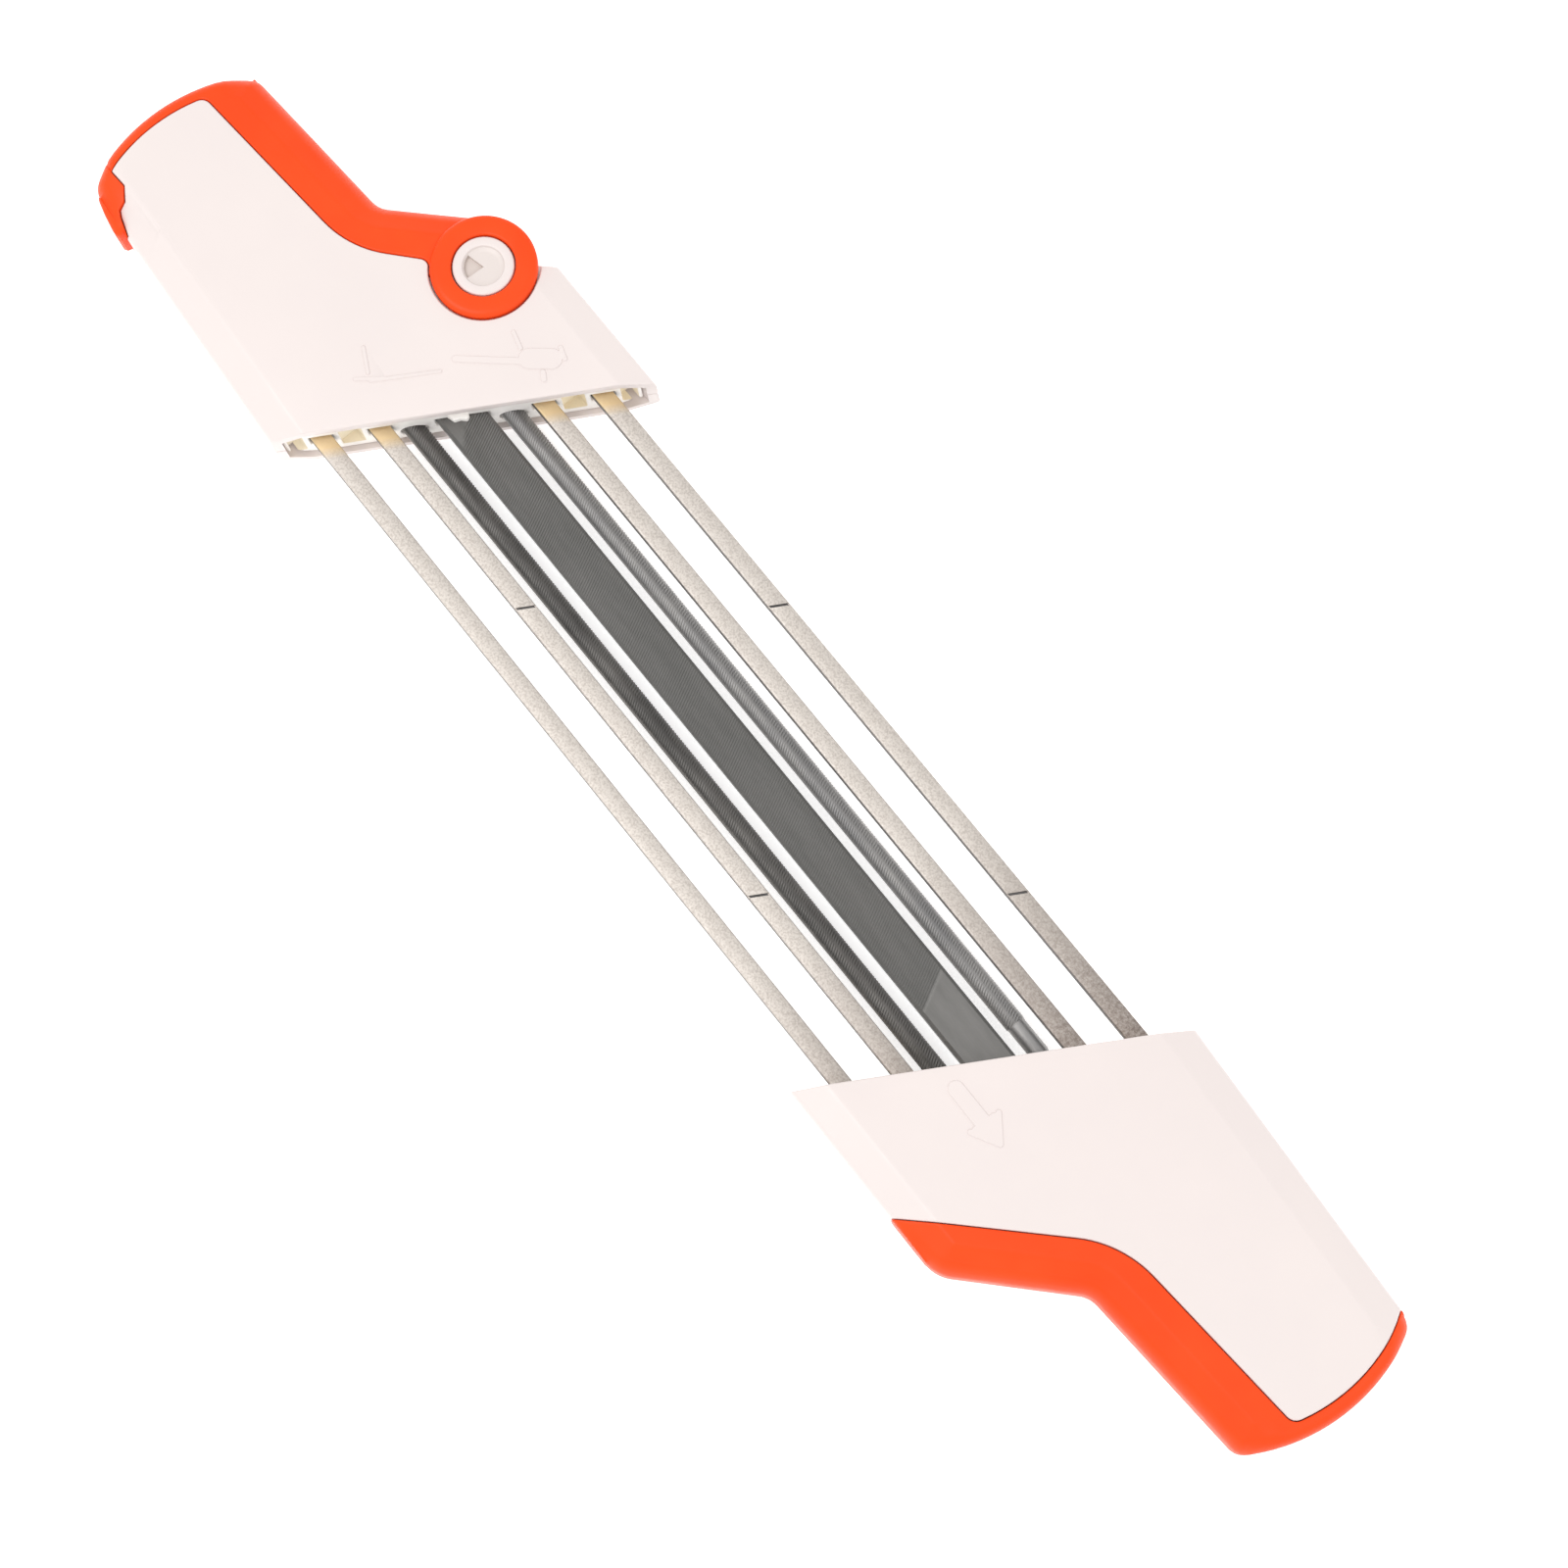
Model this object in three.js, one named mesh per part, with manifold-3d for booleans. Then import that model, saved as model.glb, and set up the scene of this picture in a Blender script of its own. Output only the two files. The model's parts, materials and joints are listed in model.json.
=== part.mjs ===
// Two-in-one chainsaw filing guide: two round files and a flat file held between two angled handles
// by four flat guide bars, with a swinging lock lever that closes the handle the files slide out of.
//
// Millimetres, +Z up. +X runs along the files towards the fixed handle, +Y across the tool, and the
// origin is under the middle of the tool on the plane it lies on. The latch handle is the fixed
// handle's outline turned half round about Z, so both are drawn at the +X end: "handle frame" below
// means that drawing frame, and the latch handle's group turns it into place.

import * as THREE from 'three';
import { mergeVertices } from 'three/addons/utils/BufferGeometryUtils.js';
import Module from 'manifold-3d';

const wasm = await Module();
wasm.setup();

// ---------------------------------------------------------------- driving dimensions

const FILING_ANGLE = THREE.MathUtils.degToRad(30); // the mouths slant by this against a square cut
const EXPOSED = 175; // guide bar length in sight between the two mouths
const HANDLE_LENGTH = 95.5; // middle of a mouth to the handle's far end
const THICKNESS = 17; // both handles, over the shells
const HALF_WIDTH = 35.5; // centreline to the long edges, at a mouth
const WALL = 2; // shells
const GRIP_WALL = 2.3; // finger grip and lock lever
const GAP = 0.3; // between any two pieces that touch
const PLAY = 0.4; // where a piece slides or turns

const EDGE_ROUND = 3; // rounding of the handles' outer edges
const EDGE_TAPER = 0.0623; // slope of the long edge that runs in towards the far end
const FACET_WIDTH = 6.5; // sloping facet along each long edge, in plan
const FACET_DROP = 2.8; // how far that facet falls
const SCOOP_DEPTH = 21.4; // long edge in to the bottom of the finger side's scoop
const BUTT_RISE = 2.6; // the scoop's floor is this much shallower at the far end
const GRIP_STRIP = 10.9; // width of the orange strip along the scoop, seen from above
const SCOOP_START_RADIUS = 8; // rounding where the scoop leaves the long edge
const SCOOP_RADIUS = 6; // rounding at the scoop's bottom
const BUTT_RADIUS = 4; // the far end's two corners
const BUTT_FINGER_INSET = 5.8; // the finger side's corner to the handle's far end
const BUTT_LONG_INSET = 4.4; // the long edge's corner to the handle's far end
const END_RADIUS = 42; // the far end's bow
const END_REACH = 5.7; // where the bow's tangents meet, past the far end
const END_CENTRE = 26.1; // that meeting point to the long edge
const FIXED_SCOOP = { start: 69.8, bottom: 47.5 }; // both to the handle's far end
const LATCH_SCOOP = { start: 68.3, bottom: 46.6 };
const SEAM_WAIST_INSET = 51.6; // corners of the parting between white and orange, to the far end
const SEAM_BUTT_INSET = 4.4;
const SEAM_BUTT_RISE = 0.95; // how much wider the orange strip is at the far end
const SEAM_WAIST_RADIUS = 24;
const SEAM_BUTT_RADIUS = 2.5;
const SEAM_END = { inset: 0.1, edge: 18.5, radius: 40 };
const SEAM_OUT = { inset: 13.9, past: 7.1 }; // where its last side leaves the handle

const BAR_WIDTH = 4;
const BAR_THICKNESS = 3;
const BAR_INNER_Y = 15.2;
const BAR_EDGE = 9.4; // centre of an outer bar to the handle's long edge
const BAR_DROP = 1.2; // underside of the guide bars, which rides on the cutters, under mid-height
const BAR_GRIP = 16; // bar length hidden in each handle
const BAR_PIN_RADIUS = 1;
const BAR_PIN_INSET = 5; // pin axis to the bar's end
const MARK_WIDTH = 0.6; // engraved angle marks across two of the bars
const MARK_DEPTH = 0.35;
const MARKS = { inner_left: [-46.9, 31.3], outer_right: [-14, 64] };

const ROUND_DIAMETER = 4.5;
const ROUND_Y = 9.2;
const TIP_INSET = 28.5; // tips of all three files behind the latch handle's mouth
const ROUND_HEEL_INSET = 4.5; // round files' shoulders behind the fixed handle's mouth
const ROUND_TANG = 20;
const ROUND_TANG_SHARE = 0.4; // thickness of a tang's end, as a share of the file's
const ROUND_CHAMFER = 0.6; // at the tips
const FLAT_WIDTH = 9.6;
const FLAT_THICKNESS = 3.5;
const FLAT_DROP = 0.65; // the flat file's face lies this far under the bars' undersides
const FLAT_HEEL_INSET = 10.5;
const FLAT_TANG = 14;
const FLAT_TANG_WIDTH = 5;
const FLAT_TANG_STEP = 0.4; // the tang's faces below the file's faces
const FLAT_CHAMFER = 0.7; // along the file's edges
const TOP_SHARE = 0.2; // share of the round file that stands above the cutter's top plate

const PIVOT_INSET = 73.2; // lock lever's axis to the handle's far end
const EYE_MARGIN = 1.2; // lever's eyes to the handle's long edge
const RING_RADIUS = 11.5; // lever's eyes
const RING_RISE = 1; // upper eye above the shell
const EYE_THICKNESS = 2.3;
const PIN_HEAD_RADIUS = 6.6;
const PIN_SHAFT_RADIUS = 5.2;
const PIN_WALL = 1.8; // shaft round the cap's stub
const PIN_RECESS_RADIUS = 4.356; // dish in the pin's head
const PIN_RECESS_DEPTH = 0.8;
const PIN_KEY_RADIUS = 3.96; // pie slice that keys the dish
const PIN_KEY_DEPTH = 1.5;
const PIN_KEY_ANGLES = [20, 95].map(THREE.MathUtils.degToRad);
const STUB_REACH = 2; // the cap's stub past mid-height
const STUB_CLEARANCE = 1; // the pin's socket past the stub
const LOBE_RADIUS = 9.8; // shell bosses between the eyes
const HOOK_THICKNESS = 2;
const HOOK_INSET = 17.5; // tip of the lever's hook to the handle's far end
const NOSE_LENGTH = 13.5; // the lever is solid this far in from the long edge, at the corner
const SHOULDER_ANGLE = THREE.MathUtils.degToRad(235); // the stop that the open lever comes up to
const LEVER_ROOT_ANGLE = THREE.MathUtils.degToRad(318);
const FINGER_WIDTH = 4.5; // file stops on the lever
const STOP_RIB_INSET = 34; // the stops' cross rib to the handle's far end

const BLOCK_RECESS = 1.2; // carrier blocks behind the mouths
const BLOCK_END_WALL = 4; // guide block past the bars' ends
const POCKET_DEPTH = 11; // cored pockets in the blocks' front faces
const POCKET_RIB = 1.6; // between a pocket and a bar's slot
const POCKET_EDGE = 0.9; // block left outside the outermost pockets

// ---------------------------------------------------------------- worked-out places

const SLANT = Math.tan(FILING_ANGLE);
const mouthX = (y) => EXPOSED / 2 + y * SLANT;

const TAIL = EXPOSED / 2 + HANDLE_LENGTH;
const MID = THICKNESS / 2;
const BAR_OUTER_Y = HALF_WIDTH - BAR_EDGE;
const BAR_BOTTOM = MID - BAR_DROP;
const BAR_TOP = BAR_BOTTOM + BAR_THICKNESS;
const ROUND_Z = BAR_BOTTOM + (TOP_SHARE - 0.5) * ROUND_DIAMETER;
const FLAT_BOTTOM = BAR_BOTTOM - FLAT_DROP;
const FLAT_TOP = FLAT_BOTTOM + FLAT_THICKNESS;
const TIP_X = -EXPOSED / 2 - TIP_INSET;
const ROUND_HEEL_X = EXPOSED / 2 + ROUND_HEEL_INSET;
const FLAT_HEEL_X = EXPOSED / 2 + FLAT_HEEL_INSET;
const HOLE_RADIUS = ROUND_DIAMETER / 2 + PLAY;
const GUIDE_BLOCK_DEPTH = BAR_GRIP + BLOCK_END_WALL;
const SOCKET_DEPTH = ROUND_HEEL_INSET + ROUND_TANG + ROUND_Y * SLANT;
const TANG_BLOCK_DEPTH = SOCKET_DEPTH - BLOCK_RECESS + WALL;

const PIVOT = new THREE.Vector2(TAIL - PIVOT_INSET, RING_RADIUS + EYE_MARGIN - HALF_WIDTH);
const EYE_SEAT = THICKNESS + RING_RISE - EYE_THICKNESS - GAP; // boss face under the upper eye
const LOW_EYE_SEAT = EYE_THICKNESS + GAP;
const HOOK_END_X = TAIL - HOOK_INSET;
const NOSE_Y = HALF_WIDTH - NOSE_LENGTH;

const taperedEdgeY = (x) => HALF_WIDTH - (x - mouthX(HALF_WIDTH)) * EDGE_TAPER;

// The latch shells' far corner is an arc about the pivot, so that the hook can swing past it.
const CORNER_RADIUS = Math.hypot(HOOK_END_X - PIVOT.x, taperedEdgeY(HOOK_END_X) - PIVOT.y);

const OVERRUN = 14; // how far drawings run past the mouth before it is cut
const BEYOND = 10; // how far cutters run past a face
const FAR = TAIL + 20; // beyond everything

// ---------------------------------------------------------------- plans

const WAIST_Y = SCOOP_DEPTH - HALF_WIDTH;
const BUTT_Y = WAIST_Y + BUTT_RISE;
const BUTT_CORNER_X = TAIL - BUTT_LONG_INSET;

// Corners of a handle's outline as [x, y, fillet radius], counter-clockwise in the handle frame.
function handleCorners(scoop) {
  return [
    [mouthX(-HALF_WIDTH) - OVERRUN, -HALF_WIDTH, 0],
    [TAIL - scoop.start, -HALF_WIDTH, SCOOP_START_RADIUS],
    [TAIL - scoop.bottom, WAIST_Y, SCOOP_RADIUS],
    [TAIL - BUTT_FINGER_INSET, BUTT_Y, BUTT_RADIUS],
    [TAIL + END_REACH, HALF_WIDTH - END_CENTRE, END_RADIUS],
    [BUTT_CORNER_X, taperedEdgeY(BUTT_CORNER_X), BUTT_RADIUS],
    [mouthX(HALF_WIDTH) - OVERRUN, HALF_WIDTH + OVERRUN * EDGE_TAPER, 0],
  ];
}

const PARTING_WAIST = [TAIL - SEAM_WAIST_INSET, WAIST_Y + GRIP_STRIP];
const CLEAR_Y = HALF_WIDTH + BEYOND;

// Edge between the white shells and the orange pieces, on the tail side, shared by both handles.
const PARTING = [
  [...PARTING_WAIST, SEAM_WAIST_RADIUS],
  [TAIL - SEAM_BUTT_INSET, BUTT_Y + GRIP_STRIP + SEAM_BUTT_RISE, SEAM_BUTT_RADIUS],
  [TAIL - SEAM_END.inset, HALF_WIDTH - SEAM_END.edge, SEAM_END.radius],
  [TAIL - SEAM_OUT.inset, HALF_WIDTH + SEAM_OUT.past, 0],
  [mouthX(CLEAR_Y) - 3 * OVERRUN, CLEAR_Y, 0],
  [mouthX(-CLEAR_Y) - 3 * OVERRUN, -CLEAR_Y, 0],
];

const polar = (radius, angle) => [
  PIVOT.x + radius * Math.cos(angle),
  PIVOT.y + radius * Math.sin(angle),
];

// From the waist the fixed handle's edge runs straight out at 45 degrees.
const FIXED_OUTLINE = handleCorners(FIXED_SCOOP);
const FIXED_PARTING = [
  ...PARTING,
  [PARTING_WAIST[0] - PARTING_WAIST[1] - CLEAR_Y, -CLEAR_Y, 0],
];

// The latch shells stop at the pivot's boss and at the shoulder beyond it.
const LATCH_OUTLINE = handleCorners(LATCH_SCOOP);
const LATCH_PARTING = [
  ...PARTING,
  [...polar((PIVOT.y + CLEAR_Y) / -Math.sin(SHOULDER_ANGLE), SHOULDER_ANGLE), 0],
  [PIVOT.x, PIVOT.y, 0],
  [PIVOT.x + 6.6, PIVOT.y + 6.2, 0],
];

// ---------------------------------------------------------------- solids

// A closed three.js geometry as a solid to join and cut.
function solidOf(geometry) {
  const bare = new THREE.BufferGeometry();
  bare.setAttribute('position', geometry.getAttribute('position'));
  if (geometry.index) bare.setIndex(geometry.index);
  const merged = mergeVertices(bare, 1e-4);
  const mesh = new wasm.Mesh({
    numProp: 3,
    vertProperties: new Float32Array(merged.attributes.position.array),
    triVerts: new Uint32Array(merged.index.array),
  });
  return new wasm.Manifold(mesh);
}

function geometryOf(solid) {
  const { numProp, numVert, vertProperties, triVerts } = solid.getMesh();
  const positions = new Float32Array(numVert * 3);
  for (let i = 0; i < numVert; i++) {
    positions.set(vertProperties.subarray(i * numProp, i * numProp + 3), i * 3);
  }
  const geometry = new THREE.BufferGeometry();
  geometry.setAttribute('position', new THREE.BufferAttribute(positions, 3));
  geometry.setIndex(new THREE.BufferAttribute(triVerts, 1));
  geometry.computeVertexNormals();
  return geometry;
}

const join = (first, ...others) => others.reduce((sum, solid) => sum.add(solid), first);
const cut = (first, ...others) => others.reduce((rest, solid) => rest.subtract(solid), first);

function box(low, high) {
  const size = high.map((value, i) => value - low[i]);
  const geometry = new THREE.BoxGeometry(...size);
  geometry.translate(...high.map((value, i) => (value + low[i]) / 2));
  return solidOf(geometry);
}

// An upright cylinder about (x, y), from z low to z high.
function post(x, y, radius, low, high, sides = 32) {
  const geometry = new THREE.CylinderGeometry(radius, radius, high - low, sides);
  geometry.rotateX(Math.PI / 2);
  geometry.translate(x, y, (low + high) / 2);
  return solidOf(geometry);
}

// A cylinder or cone along X.
function rod(y, z, startRadius, endRadius, startX, endX, sides = 16) {
  const geometry = new THREE.CylinderGeometry(endRadius, startRadius, endX - startX, sides);
  geometry.rotateZ(-Math.PI / 2);
  geometry.translate((startX + endX) / 2, y, z);
  return solidOf(geometry);
}

function prism(points, low, high) {
  const shape = new THREE.Shape(points);
  const geometry = new THREE.ExtrudeGeometry(shape, { depth: high - low, bevelEnabled: false });
  geometry.translate(0, 0, low);
  return solidOf(geometry);
}

// ---------------------------------------------------------------- outlines

const ARC_TOLERANCE = 0.06; // chord error of a faceted arc

const direction = (from, to) => to.clone().sub(from).normalize();

function turnAt(before, at, after) {
  const inward = direction(before, at);
  const outward = direction(at, after);
  return Math.atan2(inward.cross(outward), inward.dot(outward));
}

// The points of one corner rounded to a radius.
function filletPoints(before, at, after, radius) {
  const turn = turnAt(before, at, after);
  if (radius < 0.05 || Math.abs(turn) < 1e-3) return [at];
  const inward = direction(before, at);
  const side = Math.sign(turn);
  const start = at.clone().addScaledVector(inward, -radius * Math.tan(Math.abs(turn) / 2));
  const centre = start.clone().add(new THREE.Vector2(-inward.y, inward.x).multiplyScalar(side * radius));
  const step = 2 * Math.acos(1 - ARC_TOLERANCE / Math.max(radius, 1));
  const steps = Math.max(2, Math.ceil(Math.abs(turn) / step));
  return Array.from({ length: steps + 1 }, (_, i) =>
    start.clone().rotateAround(centre, (turn * i) / steps),
  );
}

// Corners [x, y, radius] moved inwards by inset; an inner radius shrinks and an outer one grows.
function insetCorners(corners, inset) {
  const points = corners.map(([x, y]) => new THREE.Vector2(x, y));
  return points.map((at, i) => {
    const inward = direction(points.at(i - 1), at);
    const outward = direction(at, points[(i + 1) % points.length]);
    const side = Math.sign(inward.cross(outward));
    const normal = new THREE.Vector2(-inward.y - outward.y, inward.x + outward.x);
    const radius = corners[i][2];
    return {
      at: at.clone().addScaledVector(normal, inset / (1 + inward.dot(outward))),
      radius: radius > 0 ? Math.max(radius - side * inset, 0.4) : 0,
    };
  });
}

// A rounded polygon from [x, y, radius] corners, counter-clockwise, moved inwards by inset.
// Two fillets that would meet on a short side are both reduced to fit it.
function roundedOutline(corners, inset = 0) {
  const moved = insetCorners(corners, inset);
  const after = (i) => moved[(i + 1) % moved.length];
  const reach = moved.map(({ at, radius }, i) =>
    radius * Math.tan(Math.abs(turnAt(moved.at(i - 1).at, at, after(i).at)) / 2),
  );
  const fits = moved.map(({ at }, i) => {
    const wanted = reach[i] + reach[(i + 1) % moved.length] + 1e-6;
    return Math.min(1, (0.98 * at.distanceTo(after(i).at)) / wanted);
  });
  return moved.flatMap(({ at, radius }, i) =>
    filletPoints(moved.at(i - 1).at, at, after(i).at, radius * Math.min(fits[i], fits.at(i - 1))),
  );
}

// ---------------------------------------------------------------- handle blanks

// The handle's whole form, or the same form moved inwards by inset, running past the mouth.
function blank(corners, inset = 0) {
  const round = Math.max(EDGE_ROUND - inset, 0.5);
  const points = roundedOutline(corners, inset);
  const geometry = new THREE.ExtrudeGeometry(new THREE.Shape(points), {
    depth: THICKNESS - 2 * inset - 2 * round,
    bevelSize: round,
    bevelThickness: round,
    bevelOffset: -round,
    bevelSegments: 3,
  });
  geometry.translate(0, 0, inset + round);
  return cut(solidOf(geometry), ...facetCutters(inset));
}

// The four prisms that slope the long edges off, moved inwards with the blank.
function facetCutters(inset) {
  const fall = Math.atan2(FACET_DROP, FACET_WIDTH);
  const crest = HALF_WIDTH - FACET_WIDTH;
  const taper = Math.atan(EDGE_TAPER);
  return [1, -1].flatMap((side) =>
    [1, -1].map((upper) => {
      const geometry = new THREE.BoxGeometry(3 * FAR, 6 * FACET_WIDTH, BEYOND);
      geometry.translate(0, 3 * FACET_WIDTH, BEYOND / 2 - inset);
      geometry.rotateX(-fall);
      geometry.translate(0, 0, MID);
      if (upper < 0) geometry.scale(1, 1, -1);
      if (side < 0) geometry.scale(1, -1, 1);
      if (upper * side < 0) flipFaces(geometry);
      if (side > 0) geometry.rotateZ(-taper);
      const mouthCorner = side > 0 ? mouthX(HALF_WIDTH) * Math.tan(taper) : 0;
      geometry.translate(0, side * crest + mouthCorner, MID);
      return solidOf(geometry);
    }),
  );
}

// Turns every face round, after a mirror has turned them inside out.
function flipFaces(geometry) {
  const index = geometry.index.array;
  for (let i = 0; i < index.length; i += 3) {
    [index[i + 1], index[i + 2]] = [index[i + 2], index[i + 1]];
  }
}

// A solid of the plan given, from below the handles to above them.
const through = (points) => prism(points, -BEYOND, THICKNESS + BEYOND);
const throughPost = (radius, sides = 32) =>
  post(PIVOT.x, PIVOT.y, radius, -BEYOND, THICKNESS + BEYOND, sides);

// Everything on the files' side of a mouth.
function mouthCutter() {
  return through([
    new THREE.Vector2(mouthX(-CLEAR_Y), -CLEAR_Y),
    new THREE.Vector2(mouthX(CLEAR_Y), CLEAR_Y),
    new THREE.Vector2(-FAR, CLEAR_Y),
    new THREE.Vector2(-FAR, -CLEAR_Y),
  ]);
}

const partingPrism = (corners, inset) => through(roundedOutline(corners, inset));

const upperHalf = () => box([-FAR, -FAR, MID + GAP / 2], [FAR, FAR, THICKNESS + BEYOND]);
const lowerHalf = () => box([-FAR, -FAR, -BEYOND], [FAR, FAR, MID - GAP / 2]);

// ---------------------------------------------------------------- fixed handle

function fixedShells() {
  const outside = blank(FIXED_OUTLINE).intersect(partingPrism(FIXED_PARTING, 0));
  const hollow = blank(FIXED_OUTLINE, WALL).intersect(partingPrism(FIXED_PARTING, WALL));
  const shells = cut(outside, hollow, mouthCutter());
  return { top: shells.intersect(upperHalf()), bottom: shells.intersect(lowerHalf()) };
}

function fixedGrip() {
  const outside = blank(FIXED_OUTLINE);
  return cut(outside, partingPrism(FIXED_PARTING, -GAP), blank(FIXED_OUTLINE, GRIP_WALL), mouthCutter());
}

// ---------------------------------------------------------------- latch handle

function latchShells() {
  const lobe = post(PIVOT.x, PIVOT.y, LOBE_RADIUS, 0, THICKNESS);
  const region = join(partingPrism(LATCH_PARTING, 0), lobe);
  const outside = blank(LATCH_OUTLINE).intersect(region);
  const shoulder = shoulderWall();
  const hollow = cut(blank(LATCH_OUTLINE, WALL), lobe, shoulder);
  const seats = [
    post(PIVOT.x, PIVOT.y, RING_RADIUS + PLAY, EYE_SEAT, THICKNESS + BEYOND, 48),
    post(PIVOT.x, PIVOT.y, RING_RADIUS + PLAY, -BEYOND, LOW_EYE_SEAT, 48),
  ];
  const ways = [
    throughPost(PIN_SHAFT_RADIUS + GAP),
    ...BAR_ROWS.map(([, y]) => barSlot(y)),
    fileWay(-ROUND_Y, FAR),
    fileWay(ROUND_Y, FAR),
  ];
  const shells = cut(outside, hollow, pastCorner(0), ...seats, ...ways, mouthCutter());
  return { top: shells.intersect(upperHalf()), bottom: shells.intersect(lowerHalf()) };
}

// The wall behind the shoulder, from the pivot's boss out to the long edge.
function shoulderWall() {
  const geometry = new THREE.BoxGeometry(HALF_WIDTH, WALL, THICKNESS);
  geometry.translate(HALF_WIDTH / 2, -WALL / 2, MID);
  geometry.rotateZ(SHOULDER_ANGLE);
  geometry.translate(PIVOT.x, PIVOT.y, 0);
  return solidOf(geometry);
}

function lockLever() {
  const above = THICKNESS + RING_RISE;
  const shellRoom = cut(partingPrism(LATCH_PARTING, -GAP), pastCorner(PLAY));
  const noseRoom = box([HOOK_END_X - BEYOND, NOSE_Y, -BEYOND], [FAR, FAR, THICKNESS + BEYOND]);
  const body = cut(
    blank(LATCH_OUTLINE).intersect(through(leverRegion())),
    shellRoom,
    cut(blank(LATCH_OUTLINE, GRIP_WALL), noseRoom),
  );
  const eyes = [
    post(PIVOT.x, PIVOT.y, RING_RADIUS, above - EYE_THICKNESS, above, 48),
    post(PIVOT.x, PIVOT.y, RING_RADIUS, 0, EYE_THICKNESS, 48),
  ];
  const lobeRoom = post(PIVOT.x, PIVOT.y, LOBE_RADIUS + PLAY, LOW_EYE_SEAT, EYE_SEAT);
  const whole = join(cut(body, lobeRoom), hook(), ...eyes, fileStops());
  return cut(whole, throughPost(PIN_HEAD_RADIUS + GAP));
}

// Everything past the latch shells' far corner, which is an arc struck from the pivot.
function pastCorner(clearance) {
  return cut(
    box([PIVOT.x, 0, -BEYOND], [FAR, FAR, THICKNESS + BEYOND]),
    throughPost(CORNER_RADIUS + clearance, 360),
  );
}

// Plan of the lever: everything on the finger side and tail side, before the shells' room is cut.
function leverRegion() {
  return [
    [PIVOT.x, PIVOT.y],
    polar(HALF_WIDTH, LEVER_ROOT_ANGLE),
    [FAR, -FAR],
    [FAR, FAR],
    [HOOK_END_X, FAR],
    [HOOK_END_X, PARTING_WAIST[1] + 15],
    [PARTING_WAIST[0] - 1.4, PARTING_WAIST[1] + 5],
    [PIVOT.x + 3, PIVOT.y + 7],
  ].map(([x, y]) => new THREE.Vector2(x, y));
}

// The hook laps the shells' far corner, on a circle struck from the pivot.
function hook() {
  const outer = CORNER_RADIUS + PLAY + HOOK_THICKNESS;
  const low = EDGE_ROUND / 2;
  const ring = post(PIVOT.x, PIVOT.y, outer, low, THICKNESS - low, 360).intersect(pastCorner(PLAY));
  return ring.intersect(box([HOOK_END_X, NOSE_Y, -BEYOND], [TAIL, FAR, THICKNESS + BEYOND]));
}

// Three fingers that reach from the lever's end wall to the tips of the files, and their cross rib.
function fileStops() {
  const low = ROUND_Z - ROUND_DIAMETER / 2;
  const high = FLAT_TOP;
  const tip = -TIP_X + PLAY;
  const rib = TAIL - STOP_RIB_INSET;
  const fingers = [-ROUND_Y, 0, ROUND_Y].map((y) =>
    box([tip, y - FINGER_WIDTH / 2, low], [TAIL, y + FINGER_WIDTH / 2, high]),
  );
  const across = box([rib, -ROUND_Y, low], [rib + FINGER_WIDTH, ROUND_Y, high]);
  return join(...fingers, across).intersect(blank(LATCH_OUTLINE, 1));
}

function pivotPin() {
  const top = THICKNESS + RING_RISE - GAP;
  const head = post(PIVOT.x, PIVOT.y, PIN_HEAD_RADIUS, EYE_SEAT + GAP, top);
  const shaft = post(PIVOT.x, PIVOT.y, PIN_SHAFT_RADIUS, LOW_EYE_SEAT + GAP, EYE_SEAT + 1);
  const recess = post(PIVOT.x, PIVOT.y, PIN_RECESS_RADIUS, top - PIN_RECESS_DEPTH, top + BEYOND);
  const key = prism(sectorPoints(PIN_KEY_RADIUS), top - PIN_KEY_DEPTH, top);
  const socketTop = MID + STUB_REACH + STUB_CLEARANCE;
  const socket = post(PIVOT.x, PIVOT.y, PIN_SHAFT_RADIUS - PIN_WALL, -BEYOND, socketTop);
  return cut(join(head, shaft), recess, key, socket);
}

// A pie slice that keys the pin's recess.
function sectorPoints(radius) {
  const [from, to] = PIN_KEY_ANGLES;
  const rim = Array.from({ length: 7 }, (_, i) => from + ((to - from) * i) / 6);
  return [
    new THREE.Vector2(PIVOT.x, PIVOT.y),
    ...rim.map((angle) => new THREE.Vector2(...polar(radius, angle))),
  ];
}

function pivotCap() {
  const head = post(PIVOT.x, PIVOT.y, PIN_HEAD_RADIUS, GAP, LOW_EYE_SEAT);
  const stub = post(PIVOT.x, PIVOT.y, PIN_SHAFT_RADIUS - PIN_WALL - GAP, GAP, MID + STUB_REACH);
  return join(head, stub);
}

// ---------------------------------------------------------------- carrier blocks

const BAR_ROWS = [
  ['outer_left', -BAR_OUTER_Y],
  ['inner_left', -BAR_INNER_Y],
  ['inner_right', BAR_INNER_Y],
  ['outer_right', BAR_OUTER_Y],
];

// A slanted block that fills the room given, with slots for the bars and holes for their pins.
function carrierBlock(room, depth) {
  const front = (y) => mouthX(y) + BLOCK_RECESS;
  const plan = [
    new THREE.Vector2(front(-CLEAR_Y), -CLEAR_Y),
    new THREE.Vector2(front(-CLEAR_Y) + depth, -CLEAR_Y),
    new THREE.Vector2(front(CLEAR_Y) + depth, CLEAR_Y),
    new THREE.Vector2(front(CLEAR_Y), CLEAR_Y),
  ];
  const body = through(plan).intersect(room);
  const slots = BAR_ROWS.map(([, y]) => barSlot(y));
  const pinHoles = BAR_ROWS.map(([, y]) =>
    post(barPinX(y), y, BAR_PIN_RADIUS + GAP, -BEYOND, THICKNESS + BEYOND, 12),
  );
  return cut(body, ...slots, ...pinHoles, ...pockets());
}

const barPinX = (y) => mouthX(y) + BAR_GRIP - BAR_PIN_INSET;

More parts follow.
